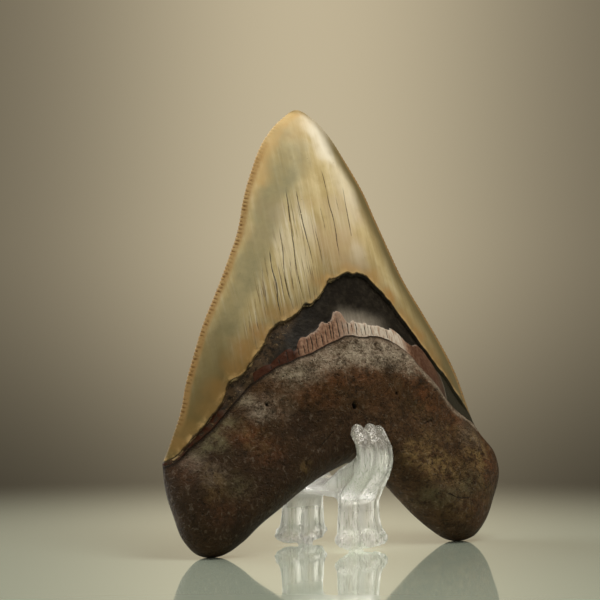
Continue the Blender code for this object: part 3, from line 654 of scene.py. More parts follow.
def crown_colour_shares(points):
    """Shares of enamel colours: grey, orange, pale and painted highlight; pink, painted edge shade,
    streaked.
    """
    u, v = points.T
    wander = 1.3 * grain_at(points, 11.0, 71.0)
    from_left, from_right = u - flow(CROWN_LEFT, v) + wander, flow(CROWN_RIGHT, v) - u + wander
    grey = ramp(from_left, 1.8, 4.5) * ramp(from_left / flow(GREY_REACH, v), 1.2, 0.75)
    grey *= ramp(v, 27.0, 42.0) * ramp(v + wander, 121.0, 110.0)
    grey = np.maximum(grey, patches(points, GREY_PATCHES))
    near_tip = ramp(v, 97.0, 108.0) * ramp(from_left, 6.5, 3.0)
    orange = np.maximum(0.95 * near_tip, patches(points, ORANGE_PATCHES))
    # Painted shade along the right edge, where the crown turns away from the light
    painted_edge_shade = ramp(from_right / flow(SHADED_REACH, v), 1.0, 0.28) * (1.0 - 0.5 * ramp(v, 116.0, 127.0))
    streaked = ramp(from_left, 7.0, 12.0) * ramp(u, 8.0, -8.0) * ramp(v, 106.0, 92.0)
    pale, pink = patches(points, PALE_AND_HIGHLIGHT_PATCHES), patches(points, PINK_PATCHES)
    return np.column_stack([grey, orange, pale]), np.column_stack([pink, painted_edge_shade, streaked])


def root_colour_shares(points):
    """Shares of the root's colours: red, pale with painted light and highlight, and ochre; greenish and
    darkest.
    """
    red, pale, ochre, green, dark = (
        patches(points, spots) for spots in (ROOT_RED, ROOT_PALE_AND_LIT, ROOT_OCHRE, ROOT_GREEN, ROOT_DARK)
    )
    from_ledge = np.abs(above(root_top, ROOT_TOP, *points.T) + 0.9)
    # A painted highlight along the root's right ledge
    pale = np.maximum(pale, 0.9 * ramp(from_ledge, 1.6, 0.5) * ramp(points[:, 0], 22.0, 27.0))
    return np.column_stack([red, pale, ochre]), np.column_stack([green, dark, np.zeros(len(dark))])


# ---------------------------------------------------------------- meshes


def new_object(name, points, faces, material):
    """A smooth-shaded object from points in millimetres."""
    mesh = bpy.data.meshes.new(name)
    mesh.from_pydata((np.asarray(points) * MM).tolist(), [], [tuple(map(int, f)) for f in faces])
    work = bmesh.new()
    work.from_mesh(mesh)
    bmesh.ops.recalc_face_normals(work, faces=work.faces)
    work.to_mesh(mesh)
    work.free()
    mesh.materials.append(material)
    mesh.shade_smooth()
    made = bpy.data.objects.new(name, mesh)
    bpy.context.scene.collection.objects.link(made)
    return made


def remember(mesh, name, values):
    """Keeps three numbers for each vertex, for the material to read."""
    kept = mesh.attributes.new(name, "FLOAT_VECTOR", "POINT")
    kept.data.foreach_set("vector", np.ascontiguousarray(values, np.float32).ravel())


def build_tooth(step, material):
    """The tooth's mesh, with what its material needs to know at each vertex."""
    rim, rim_along = tooth_rim(SERRATION_PITCH / 5)
    cracks = crack_lines()
    flat, triangles, on_rim = flat_triangles(rim, face_points(rim, cracks, step))
    distance, piece, share = nearest_on(flat, rim)
    ahead = rim_along[np.minimum(piece + 1, len(rim_along) - 1)]
    along = rim_along[piece] + share * (ahead - rim_along[piece])
    u, v = flat.T
    middle = middle_surface(v)
    crack = np.maximum(crack_share(flat, cracks), hollows(u, v, PITS) / 1.1)
    front = np.where(on_rim, middle, middle - display_height(flat, distance, along, crack))
    back = middle + lip_height(flat, distance, along)
    # Both faces share the points of the rim; every other point is made twice
    inner = ~on_rim
    behind = np.arange(len(flat))
    behind[inner] = len(flat) + np.arange(inner.sum())
    shift = centring(rim)
    points = np.concatenate([leaning(u, v, front, shift), leaning(u, v, back, shift)[inner]])
    points[:, 2] -= points[:, 2].min()
    faces = np.concatenate([triangles, behind[triangles[:, ::-1]]])
    tooth = new_object("fossil_tooth", points, faces, material)

    over_strip = np.maximum(above(strip_top, STRIP_TOP, u, v), np.maximum(-27.0 - u, u - 38.0))
    over = [above(enamel_end, ENAMEL_END, u, v), above(root_top, ROOT_TOP, u, v), over_strip]
    over_lip = above(lip_enamel_end, LIP_ENAMEL_END, u, v)
    place = np.column_stack([u, v, np.ones(len(u))])
    edge = np.column_stack([distance, along, crack])
    # These shares hold painted highlights, painted light and painted shade as well as stains
    (stain, cloud), (root_stain_and_light, root_cloud) = crown_colour_shares(flat), root_colour_shares(flat)
    for name, in_front, in_back in (
        ("flat", place, place * (1, 1, -1)),
        ("lines", np.column_stack(over), np.column_stack([over_lip, over_lip + 0.02, np.full_like(u, 9.0)])),
        ("edge", edge, edge * (1, 1, 0)),
        ("crown_stain_and_highlight", stain, stain * (0.8, 0.6, 0.4)),
        ("crown_cloud_and_shade", cloud, cloud[:, ::-1]),
        ("root_stain_and_light", root_stain_and_light, root_stain_and_light[:, ::-1] * (0.7, 0.3, 0.6)),
        ("root_cloud", root_cloud, root_cloud),
    ):
        remember(tooth.data, name, np.concatenate([in_front, in_back[inner]]))
    return tooth


def rib_at(share):
    """How many ribs lie before a place across the leg, which is 0 to 1."""
    return np.interp(share, RIB_EDGES, range(len(RIB_EDGES)))


def fluted_section(width, half, count=36):
    """A leg's cross-section, (across, through), with its ribs on both faces."""
    side = []
    for k in range(count + 1):
        share = k / count
        rib = abs(math.sin(math.pi * rib_at(share))) ** 0.8
        ends = math.sqrt(max(0.0, 1.0 - abs(2.0 * share - 1.0) ** 7))
        side.append((width * (share - 0.5), half * (0.30 + 0.70 * rib) * (0.25 + 0.75 * ends)))
    return side + [(x, -h) for x, h in reversed(side)]


def leg_line():
    """The leg's keys as (along, outward, height, width, half thickness) from the foot to the lip."""
    keys = np.array(LEG_SECTIONS)
    return np.column_stack([lengths_along(keys[:, :2]), keys[:, [1, 0, 2, 3]]])


def leg_sections(side, stations=70, lip_steps=8):
    """The leg's cross-sections from its foot to the rounded ends of its ribs."""
    keys = leg_line()
    at = np.linspace(0.0, keys[-1, 0], stations)
    out, up, width, half = (flow(keys[:, [0, k]], at) for k in (1, 2, 3, 4))
    tilt = np.arctan2(np.gradient(out), np.gradient(up))
    tilt[0] = 0.0
    turns = [(k, 0.0) for k in range(stations)]
    turns += [(stations - 1, LIP_TURN * step / lip_steps) for step in range(1, lip_steps + 1)]
    sections = []
    for k, turn in turns:
        section = []
        narrowed = 1.0 - LIP_NARROWING * (1.0 - math.cos(turn))
        for x, through in fluted_section(width[k], half[k]):
            ahead = LIP_STRETCH * abs(through) * math.sin(turn)
            through *= math.cos(turn)
            y = WAIST_Y + out[k] + through * math.cos(tilt[k]) + ahead * math.sin(tilt[k])
            z = up[k] - through * math.sin(tilt[k]) + ahead * math.cos(tilt[k])
            section.append((x * narrowed, side * y, z))
        sections.append(section)
    return sections


def bridge_sections(steps=24):
    """The bridge between the legs: an arch below, straight sides and a rounded back."""
    rows = leg_line()[5:]
    sections = []
    for turn in np.linspace(-math.pi / 2, math.pi / 2, steps + 1):
        drop = BRIDGE_SHOULDER * (1.0 - math.cos(turn))
        x = BRIDGE_WIDTH / 2 * math.sin(turn)
        bottom, top = BRIDGE_UNDER[-1][1], BRIDGE_TOP[-1][1] - drop
        under = [(y, flow(BRIDGE_UNDER, y)) for y in np.linspace(0.0, WAIST_Y, steps)]
        leg = [(WAIST_Y + flow(rows[:, [2, 1]], z), z) for z in np.linspace(bottom, top, steps)[1:]]
        back = [(y, flow(BRIDGE_TOP, y) - drop) for y in np.linspace(leg[-1][0], 0.0, steps)]
        half = under + leg + back[1:]
        sections.append([(x, y, z) for y, z in half] + [(x, -y, z) for y, z in half[-2:0:-1]])
    return sections


def lofted(sections, first):
    """Points and faces of a closed solid through sections with equal numbers of points."""
    count = len(sections[0])
    points = [p for section in sections for p in section]
    faces = [tuple(range(first, first + count))]
    faces.append(tuple(range(first + len(points) - count, first + len(points)))[::-1])
    for k in range(len(sections) - 1):
        for i in range(count):
            j = (i + 1) % count
            a, b = first + k * count, first + (k + 1) * count
            faces.append((a + i, b + i, b + j, a + j))
    return points, faces


def in_stand(at, width_shift):
    """How far each point is along the stand's width and, either way, from its middle to a leg."""
    x = at[:, 0] - STAND_MIDDLE[0] - width_shift
    y = at[:, 1] - STAND_MIDDLE[1] + MIDDLE_Y
    cos, sin = math.cos(STAND_TURN), math.sin(STAND_TURN)
    return x * cos + y * sin, np.abs(y * cos - x * sin)


def filleted(at, mesh, width_shift):
    """The stand's points with soft fillets where the bridge runs into the legs."""
    through, z = in_stand(at, width_shift)[1], at[:, 2]
    below = ramp(np.hypot(through - 9.8, (z - 13.4) * 0.8), 3.5, 1.5) * ramp(through, 11.8, 10.6)
    behind = ramp(np.hypot((through - 14.8) * 0.7, (z - 27.5) * 0.9), 4.5, 2.5) * ramp(through, 17.2, 15.8)
    share = (0.5 * np.maximum(below, behind) * ramp(through, 4.0, 6.0))[:, None]
    ends = np.empty(2 * len(mesh.edges), np.int32)
    mesh.edges.foreach_get("vertices", ends)
    a, b = ends.reshape(-1, 2).T
    count = np.bincount(ends, minlength=len(at))[:, None]
    for _ in range(FILLET_ROUNDS):
        sums = [np.bincount(a, x[b], len(at)) + np.bincount(b, x[a], len(at)) for x in at.T]
        at = at + share * (np.column_stack(sums) / count - at)
    return at


def read_vertices(mesh, name):
    """Three numbers of each vertex: its place or its normal."""
    values = np.empty(3 * len(mesh.vertices), np.float32)
    mesh.vertices.foreach_get(name, values)
    return values.reshape(-1, 3)


def build_stand(fineness, crumple, width_shift, material):
    """The stand as one moulded skin over its two legs and its bridge."""
    points, faces = [], []
    for sections in (leg_sections(-1), leg_sections(1), bridge_sections()):
        more, around = lofted(sections, len(points))
        points += more
        faces += around
    x, y, z = np.array(points).T
    turned_x = x * math.cos(STAND_TURN) - y * math.sin(STAND_TURN) + STAND_MIDDLE[0] + width_shift
    turned_y = x * math.sin(STAND_TURN) + y * math.cos(STAND_TURN) + STAND_MIDDLE[1] - MIDDLE_Y
    stand = new_object("clear_stand", np.stack([turned_x, turned_y, z], 1), faces, material)
    skin = stand.modifiers.new("skin", "REMESH")
    skin.mode = "VOXEL"
    skin.voxel_size = fineness * MM
    even = stand.modifiers.new("even", "SMOOTH")
    even.factor = 0.5
    even.iterations = 4
    graph = bpy.context.evaluated_depsgraph_get()
    mesh = bpy.data.meshes.new_from_object(stand.evaluated_get(graph))
    stand.modifiers.clear()
    stand.data = mesh
    mesh.name = "clear_stand"
    facing = read_vertices(mesh, "normal")
    at = filleted(read_vertices(mesh, "co") / MM, mesh, width_shift)
    low = ramp(at[:, 2], 0.3, 1.3) * ramp(at[:, 2], 7.5, 3.5)
    rough = noise_at(at / 1.4) + 0.8 * noise_at(at / 0.8 + 9.0)
    at += facing * (crumple * rough * low)[:, None]
    at[:, 2] = np.maximum(at[:, 2] - at[:, 2].min(), 0.0)
    mesh.vertices.foreach_set("co", (at * MM).astype(np.float32).ravel())
    aside, through = in_stand(at, width_shift)
    width = flow([row[::2] for row in LEG_SECTIONS[3:]], at[:, 2])
    remember(mesh, "ribs", np.column_stack([rib_at(aside / width + 0.5), through, at[:, 2]]))
    mesh.shade_smooth()
    mesh.materials.clear()
    mesh.materials.append(material)
    return stand


# ---------------------------------------------------------------- materials


class Value:
    """What a node gives out, ready for sums: each operation adds a node."""

    def __init__(self, shades, socket):
        self.shades, self.socket = shades, socket

    def __add__(self, other):
        return self.shades.maths("ADD", self, other)

    def __mul__(self, other):
        return self.shades.maths("MULTIPLY", self, other)

    def __sub__(self, other):
        return self.shades.maths("SUBTRACT", self, other)

    def __rsub__(self, other):
        return self.shades.maths("SUBTRACT", other, self)

    __radd__, __rmul__ = __add__, __mul__

    def ramp(self, low, high):
        """0 at low and 1 at high, with a smooth change between; high may be the lower one."""
        ends = {"Value": self, "From Min": min(low, high), "From Max": max(low, high)}
        rise = self.shades.add("ShaderNodeMapRange", ends, interpolation_type="SMOOTHSTEP")
        return 1.0 - rise if low > high else rise


class Shades:
    """The nodes of a material or a world, added and joined by short calls."""

    def __init__(self, owner, shader="Principled BSDF", place="Object", scale=1.0 / MM):
        owner.use_nodes = True
        self.owner, self.nodes, self.links = owner, owner.node_tree.nodes, owner.node_tree.links
        self.shader = self.nodes[shader]
        place = self.add("ShaderNodeTexCoord", {}, place)
        self.place = self.add("ShaderNodeVectorMath", {0: place, "Scale": scale}, operation="SCALE")

    def add(self, kind, inputs, output=0, **settings):
        """What a new node gives out; its inputs and its output go by name or number."""
        made = self.nodes.new(kind)
        for key, value in settings.items():
            setattr(made, key, value)
        for key, value in inputs.items():
            self.put(key, value, made)
        return Value(self, made.outputs[output])

    def put(self, key, value, node=None):
        """Sets or joins an input of a node, or of the shader itself."""
        socket = (node or self.shader).inputs[key]
        if isinstance(value, Value):
            self.links.new(value.socket, socket)
        else:
            socket.default_value = (*value, 1.0) if socket.type == "RGBA" else value

    def apart(self, vector):
        """The three numbers of a vector."""
        made = self.nodes.new("ShaderNodeSeparateXYZ")
        self.put(0, vector, made)
        return [Value(self, socket) for socket in made.outputs]

    def kept(self, name):
        """The three numbers kept under a name at each vertex."""
        return self.apart(self.add("ShaderNodeAttribute", {}, "Vector", attribute_name=name))

    def maths(self, operation, a, b=0.0):
        return self.add("ShaderNodeMath", {0: a, 1: b}, operation=operation)

    def point(self, x, y, z):
        return self.add("ShaderNodeCombineXYZ", {0: x, 1: y, 2: z})

    def grain(self, size, detail=3.0, rough=0.55, twist=0.0, where=None):
        """Cloudy values around 0.5, with features of a size in millimetres."""
        inputs = {"Scale": 1.0 / size, "Detail": detail, "Roughness": rough, "Distortion": twist}
        inputs["Vector"] = self.point(*where) if where else self.place
        return self.add("ShaderNodeTexNoise", inputs, "Fac")

    def pores(self, size):
        """The distance from the nearest of scattered points, in their spacing."""
        return self.add("ShaderNodeTexVoronoi", {"Vector": self.place, "Scale": 1.0 / size}, "Distance")

    def layered(self, colour, *layers):
        """A colour with others laid over it in turn, each given as (share, colour)."""
        for share, over in layers:
            colour = self.add("ShaderNodeMix", {0: share, 6: colour, 7: over}, 2, data_type="RGBA")
        return colour

    def relief(self, height, depth):
        """A normal from heights of 0 to 1, with a depth in millimetres."""
        return self.add("ShaderNodeBump", {"Strength": 1.0, "Distance": depth * MM, "Height": height})


def fossil_material(c):
    """Stained enamel, the bare band, the ribbed strip and the sandy root, by place on the tooth."""
    s = Shades(bpy.data.materials.new("fossil_tooth"))
    u, v, side = s.kept("flat")
    over_enamel, over_root, over_strip = s.kept("lines")
    rim, along, crack = s.kept("edge")
    grey, orange, pale = s.kept("crown_stain_and_highlight")
    pink, painted_edge_shade, streaked = s.kept("crown_cloud_and_shade")
    red, lit_root_share, ochre = s.kept("root_stain_and_light")
    green, dark = s.kept("root_cloud")[:2]

    # Noises that more than one part of the tooth shares
    seat = side * 40.0
    fine = s.grain(1.0, 4.0, 0.65, where=(u * 1.25, v * 0.045, seat))
    hair = s.grain(1.0, 2.0, 0.5, where=(u * 1.7, v * 0.06, seat + 9.0))
    broad = s.grain(1.0, where=(u * 0.26, v * 0.035, seat))
    cloud = s.grain(9.0, 5.0, 0.6, 0.4)
    small_cloud = s.grain(2.4, 6.0, 0.65)
    fibre = s.grain(1.0, 4.0, 0.6, 0.8, where=(u * 0.42, v * 0.95, side))
    crumbs = s.grain(1.7, 6.0, 0.7)
    sand = s.grain(0.62, 4.0, 0.7)
    clod = s.grain(3.6, 7.0, 0.68)
    coarse = s.grain(1.3, 5.0, 0.68, 0.8)

    # Enamel: cream, streaked up and down, mottled, stained, and darker to its break: stain and painted shade
    near_break = (over_enamel + (cloud - 0.5) * 8.0).ramp(9.0, 0.0)
    # Darker low on the crown and near the break: partly brown stain, partly painted shade
    depth = v.ramp(104.0, 40.0) * 0.42 + v.ramp(62.0, 42.0) * 0.3 + near_break * 0.4
    low_orange = s.layered(c.enamel_orange, (v.ramp(95.0, 70.0), c.enamel_rust))
    low_left = u.ramp(-18.0, -40.0) * v.ramp(74.0, 58.0)
    hairlines = hair.ramp(0.57, 0.65) * streaked * cloud.ramp(0.3, 0.5)
    flecks = s.pores(1.9).ramp(0.09, 0.045) * s.grain(7.0).ramp(0.5, 0.62)
    enamel = s.layered(
        c.enamel_dark,
        ((broad * 0.6 + cloud * 0.4).ramp(0.38, 0.6), c.enamel),
        (small_cloud.ramp(0.45, 0.75) * 0.25, c.enamel_brown),
        (fine.ramp(0.5, 0.62) * (0.08 + streaked * 0.2), c.enamel_brown),
        (fine.ramp(0.5, 0.36) * (0.14 + streaked * 0.3), c.enamel_pale_and_highlight),
        (pink * (0.35 + cloud * 0.5), c.enamel_pink),
        (grey * (small_cloud * 0.5 + cloud * 0.9), c.enamel_grey),
        # Painted highlight near the tip, from the pale patches
        (pale * (0.45 + broad * 0.5), c.enamel_pale_and_highlight),
        (depth * (0.6 + cloud * 0.8), c.enamel_stain_and_shade),
        (pink * cloud.ramp(0.4, 0.6) * 0.4, c.enamel_pink),
        (orange * (0.15 + small_cloud * 0.95), low_orange),
        # Painted shade along the right edge
        (painted_edge_shade, c.enamel_olive_and_shade),
        (low_left * (0.22 + small_cloud * 0.5), c.enamel_olive_and_shade),
        (hairlines * 0.75, c.enamel_line),
        (flecks * 0.6, c.enamel_line),
    )

    # The cutting edge is a brown line with darker notches; the broken rim has a stain and a line
    wave = s.maths("ABSOLUTE", s.maths("COSINE", along * (math.pi / SERRATION_PITCH)))
    notch = wave.ramp(0.6, 0.15) * rim.ramp(1.5, 0.4) * s.grain(1.6).ramp(0.35, 0.6)
    edge_tone = rim.ramp(2.0, 0.9) * v.ramp(30.0, 44.0) * v.ramp(122.0, 112.0)
    stain = over_enamel.ramp(2.2, 0.2) * s.grain(3.2, 4.0).ramp(0.4, 0.6)
    ragged_line = over_enamel + (s.grain(1.6) - 0.5) * 0.7
    enamel = s.layered(
        enamel,
        (edge_tone * (0.35 + small_cloud * 0.7), c.edge),
        (notch * v.ramp(30.0, 40.0) * v.ramp(126.0, 96.0), c.notch),
        (stain * 0.6, c.enamel_orange),
        (ragged_line.ramp(0.55, 0.15) * 0.85, c.crack),
        (crack.ramp(0.1, 0.6) * 0.85, c.crack),
    )

    # The bare band: nearly black, grey above the middle of the strip, crumbly at its left end
    reach = v + u * 0.16 + (cloud - 0.5) * 6.0
    mist = reach.ramp(69.8, 63.5) * u.ramp(-2.0, 2.5) * u.ramp(20.0, 8.0)
    left_end = (u - (v - 60.0) * 0.8).ramp(-14.5, -18.5)
    band = s.layered(
        c.band,
        (s.grain(2.0, 6.0, 0.65).ramp(0.42, 0.7), c.band_worn),
        (mist * (0.45 + fine * 0.9), c.band_grey),
        (left_end * crumbs.ramp(0.36, 0.6) * 0.75, c.crumbs),
        (left_end * s.grain(1.3, 4.0, 0.6, 1.5).ramp(0.6, 0.7) * 0.35, c.broken_enamel),
        (u.ramp(-33.0, -37.0) * crumbs.ramp(0.4, 0.6), c.strip_red),
        (u.ramp(33.0, 38.0) * 0.8, c.groove),
    )

    # The ribbed strip: pinkish, redder at both ends, with a pale worn lip
    streaks = s.grain(1.0, 4.0, 0.6, where=(u * 1.3, v * 0.3, 0.0))
    worn = over_strip + (s.grain(0.7) - 0.5)
    strip = s.layered(
        c.strip_dark,
        ((streaks * 0.5 + s.grain(0.8, 5.0) * 0.5).ramp(0.4, 0.62), c.strip),
        (
            u.ramp(-3.0, 9.0) * u.ramp(24.0, 20.0),
            s.layered(c.strip_pale, (streaks.ramp(0.35, 0.75), c.strip)),
        ),
        (u.ramp(-12.5, -16.0) * (0.8 + crumbs * 0.35), c.strip_red),
        (u.ramp(22.5, 25.5) * (0.5 + cloud * 0.4), c.strip_red),
        (u.ramp(33.0, 39.0) * 0.7, c.groove),
        (worn.ramp(-0.5, -0.15) * u.ramp(-13.0, -10.0) * 0.22, c.strip_pale),
        (crack.ramp(0.08, 0.45), c.crack),
    )

    # The root: dark brown and sandy, with red, pale and ochre patches, small pores, painted light and shade
    # Painted shade, darker low on the root and more so to its left
    low = v.ramp(48.0, 26.0) * (0.12 + u.ramp(14.0, -2.0) * 0.6)
    grit = (sand * 0.4 + clod * 0.35 + fibre * 0.25).ramp(0.36, 0.66)
    pore = s.pores(1.15).ramp(0.26, 0.1) * s.grain(4.0).ramp(0.45, 0.6)
    root = s.layered(
        c.root_dark_and_shade,
        ((clod * 0.55 + sand * 0.45).ramp(0.28, 0.66), c.root),
        (s.maths("MAXIMUM", dark, low) * (0.55 + clod * 0.5), c.root_dark_and_shade),
        (red * clod.ramp(0.28, 0.62), c.root_red),
        (green * clod.ramp(0.34, 0.62), c.root_green),
        (ochre * s.grain(2.3, 6.0, 0.7).ramp(0.4, 0.6), c.root_ochre),
        # Pale grains, most where light is painted on the top of the root
        (grit * (0.01 + lit_root_share * 0.85), c.root_pale_and_glint),
        # Painted shade in the hollows of the coarse relief
        (coarse.ramp(0.5, 0.36) * (0.6 - lit_root_share * 0.35), c.root_dark_and_shade),
        # Painted glints on the tops of the coarse relief
        (coarse.ramp(0.56, 0.66) * (0.15 + lit_root_share * 0.45), c.root_pale_and_glint),
        # A painted shadow line under the ledge at the root's top, on the left
        (over_root.ramp(-1.2, -0.1) * u.ramp(24.0, 14.0), c.root_dark_and_shade),
        (pore * 0.85, c.crack),
        (crack.ramp(0.15, 0.6), c.crack),
    )

    on_strip = over_strip.ramp(0.06, -0.06) * over_enamel.ramp(0.1, -0.3)
    on_enamel = over_enamel.ramp(-0.08, 0.08)
    on_root = over_root.ramp(0.12, -0.12)
    beads = ragged_line.ramp(-0.7, -0.3) * s.grain(3.4, 3.0, 0.6, 1.0).ramp(0.5, 0.62)
    beads = beads * u.ramp(8.0, -4.0) * side.ramp(-0.3, 0.3)
    parts = ((on_strip, strip), (beads * 0.6, c.broken_enamel), (on_enamel, enamel), (on_root, root))
    s.put("Base Color", s.layered(band, *parts))

    polish = 0.5 + on_enamel * (small_cloud * 0.2 - 0.24)
    s.put("Roughness", polish + on_root * (0.3 + sand * 0.3 - polish))
    s.put("Specular IOR Level", 0.1)

    root_relief = sand * 0.55 + coarse * 0.9 + s.pores(1.15).ramp(0.05, 0.4) * 0.35 + fibre * 0.7
    enamel_relief = fine * 0.3 + small_cloud * 0.06
    bare_relief = (1.0 - on_root) * (1.0 - on_enamel) * s.grain(0.8, 4.0)
    relief = on_root * root_relief * 2.1 + on_enamel * enamel_relief * 0.22 + bare_relief * 0.5
    s.put("Normal", s.relief(relief, 0.3))
    return s.owner


def acrylic_material(c):
    """Clear moulded acrylic, streaked up and down by its mould; painted shade in grooves, lips and below."""
    s = Shades(bpy.data.materials.new("clear_acrylic"))
    s.put("Transmission Weight", 0.72)
    s.put("IOR", 1.49)
    x, y, z = s.apart(s.place)
    ribs, through, height = s.kept("ribs")
    flow_lines = s.grain(1.0, 1.0, 0.5, where=(x * 0.9, y * 0.9, z * 0.04))
    mould_lines = s.grain(1.0, 2.0, 0.5, where=(x * 2.4, y * 2.4, z * 0.05))
    lines = (flow_lines + mould_lines * 0.45) * z.ramp(34.0, 29.0)
    toes = s.grain(0.7, 3.0, 0.6) * z.ramp(6.5, 3.5) * 0.7
    dimples = s.grain(1.1, 2.0, 0.5, 0.7) * z.ramp(28.0, 31.0) * 1.1
    s.put("Normal", s.relief(lines + toes + dimples, 0.25))

    wave = s.maths("ABSOLUTE", s.maths("SINE", ribs * math.pi))
    # Painted shade down the grooves of the legs and along the mould streaks
    grooves = wave.ramp(0.36, 0.06) * through.ramp(9.0, 11.0) * (0.8 + height.ramp(22.0, 26.0) * 0.5)
    streaks = mould_lines.ramp(0.5, 0.68) * through.ramp(7.0, 11.0)
    # Painted shade, mottled, in the lips of the legs
    lip_shade_mottle = 0.1 + s.grain(1.3, 2.0, 0.5, 1.0).ramp(0.44, 0.54) * 0.9
    # The bridge is hazier and duller underneath, with painted shade in its tint there
    under = height.ramp(10.0, 12.0) * height.ramp(17.5, 16.0) * through.ramp(11.0, 10.0)
    s.put("Roughness", 0.07 + under * 0.4)
    tint = s.layered(
        c.acrylic,
        ((grooves + streaks) * 0.7, c.acrylic_shade),
        (height.ramp(27.0, 31.5) * lip_shade_mottle, c.acrylic_lip_shade),
        # Painted shade under the bridge
        (under * 0.5, c.acrylic_shade),
    )
    s.put("Base Color", tint)
    return s.owner


def floor_material(c, reach, fade):
    """A smooth pale table top that fades out at its border."""
    s = Shades(bpy.data.materials.new("table_top"))
    s.put("Base Color", s.layered(c.floor, (s.grain(160.0), [0.95 * shade for shade in c.floor])))
    s.put("Roughness", 0.05)
    s.put("IOR", 1.5)
    s.put("Coat Weight", 0.7)
    far = s.add("ShaderNodeVectorMath", {0: s.place}, "Value", operation="LENGTH")
    s.put("Alpha", far.ramp(reach, fade))
    return s.owner


# ---------------------------------------------------------------- settings


def colour(name, description, *default):
    """A colour to set in the sidebar."""
    return bpy.props.FloatVectorProperty(
        name=name, description=description, default=default, size=3, min=0.0, max=1.0, subtype="COLOR"
    )


def length(name, description, default, low, high):
    """A length to set in the sidebar, given here in millimetres and kept in metres."""
    return bpy.props.FloatProperty(
        name=name,
        description=description,
        default=default * MM,
        min=low * MM,
        max=high * MM,
        precision=5,
        unit="LENGTH",
    )


class FossilColours(bpy.types.PropertyGroup):
    """Colours of the tooth, the stand and the stage."""

    enamel: colour("Enamel", "Cream of the sound enamel", 0.62, 0.51, 0.28)
    enamel_dark: colour("Tan enamel", "Darker streaks of the enamel", 0.46, 0.355, 0.165)
    enamel_pink: colour("Pinkish enamel", "Clouds in the middle of the crown", 0.45, 0.32, 0.185)
    enamel_brown: colour("Brown enamel", "Mottling of the enamel", 0.34, 0.235, 0.09)
    enamel_grey: colour("Grey-green enamel", "Band along the left edge", 0.275, 0.252, 0.146)
    enamel_orange: colour("Orange enamel", "Stain at the tip and low on the crown", 0.58, 0.385, 0.165)
    enamel_rust: colour("Rusty enamel", "Stain just above the break", 0.36, 0.185, 0.055)
    # Painted shade along the right border, and olive stain low on the left
    enamel_olive_and_shade: colour("Olive enamel", "Shaded border on the right", 0.148, 0.114, 0.048)
    groove: colour("Groove", "Between enamel and root on the right", 0.028, 0.024, 0.013)
    # Partly brown stain, partly painted shade towards the root
    enamel_stain_and_shade: colour("Deep enamel", "Enamel darkened towards the root", 0.115, 0.078, 0.022)
    # Pale streaks, and the painted highlight near the tip
    enamel_pale_and_highlight: colour("Pale enamel", "Lightest part of the crown", 0.86, 0.80, 0.66)
    enamel_line: colour("Hairlines", "Fine lines up and down the enamel", 0.17, 0.12, 0.055)
    edge: colour("Cutting edge", "Stain along the cutting edges", 0.38, 0.22, 0.08)
    notch: colour("Notches", "Dark between the serrations", 0.16, 0.08, 0.025)
    broken_enamel: colour("Broken enamel", "Chipped rim of the enamel", 0.56, 0.40, 0.20)
    crack: colour("Cracks", "Deep in cracks and pores", 0.014, 0.010, 0.006)
    band: colour("Band", "Bare band below the enamel", 0.009, 0.0065, 0.004)
    band_worn: colour("Worn band", "Lighter mottling of the band", 0.024, 0.019, 0.013)
    crumbs: colour("Crumbs", "Rusty crumbs at the left end of the bare band", 0.085, 0.052, 0.026)
    band_grey: colour("Grey band", "Dusty part above the strip", 0.27, 0.235, 0.19)
    strip: colour("Strip", "Ribbed strip above the root", 0.31, 0.185, 0.12)
    strip_dark: colour("Dark strip", "Stains of the strip", 0.15, 0.075, 0.045)
    strip_red: colour("Red strip", "Ends of the strip", 0.038, 0.0095, 0.0025)
    strip_pale: colour("Pale strip", "Worn upper lip of the strip", 0.598, 0.538, 0.456)
    root: colour("Root", "Sandy brown of the root", 0.100, 0.049, 0.019)
    # Also painted shade low on the root, in its hollows and under its ledge
    root_dark_and_shade: colour("Dark root", "Darkest brown of the root", 0.015, 0.0085, 0.0035)
    root_red: colour("Red root", "Rusty patches of the root", 0.145, 0.052, 0.018)
    root_green: colour("Greenish root", "Weathered olive parts of the root", 0.13, 0.115, 0.06)
    # Worn grains, painted glints and painted light on the root
    root_pale_and_glint: colour("Pale root", "Worn grains of the root", 0.47, 0.395, 0.305)
    root_ochre: colour("Ochre root", "Ochre patches of the root", 0.22, 0.14, 0.055)
    acrylic: colour("Acrylic", "Tint of the clear stand", 1.0, 0.985, 0.955)
    # Painted shade down the grooves, along the mould streaks and under the bridge
    acrylic_shade: colour("Acrylic grooves", "Down the grooves of the stand", 0.42, 0.43, 0.38)
    # Painted shade in the lips of the legs
    acrylic_lip_shade: colour("Acrylic lips", "Dimples in the tops of the legs", 0.50, 0.48, 0.43)
    floor: colour("Floor", "Pale table top", 0.583, 0.669, 0.556)
    wall: colour("Wall", "Background at its brightest", 0.524, 0.445, 0.299)
    side_wall: colour("Side walls", "Pale walls out of sight to both sides", 0.92, 0.90, 0.79)


class FossilSizes(bpy.types.PropertyGroup):
    """How finely the pieces are made and how far the stage reaches."""

    tooth_step: length("Tooth mesh", "Spacing of the tooth's mesh", 0.55, 0.4, 3.0)
    stand_step: length("Stand mesh", "Spacing of the stand's mesh", 0.34, 0.25, 1.0)
    crumple: length("Crumpled feet", "Unevenness of the stand's feet", 0.42, 0.0, 1.0)
    floor_reach: length("Floor", "Where the floor has faded", 370.0, 100.0, 2000.0)
    floor_fade: length("Floor's middle", "Where the floor begins to fade", 150.0, 50.0, 2000.0)


# ---------------------------------------------------------------- operators


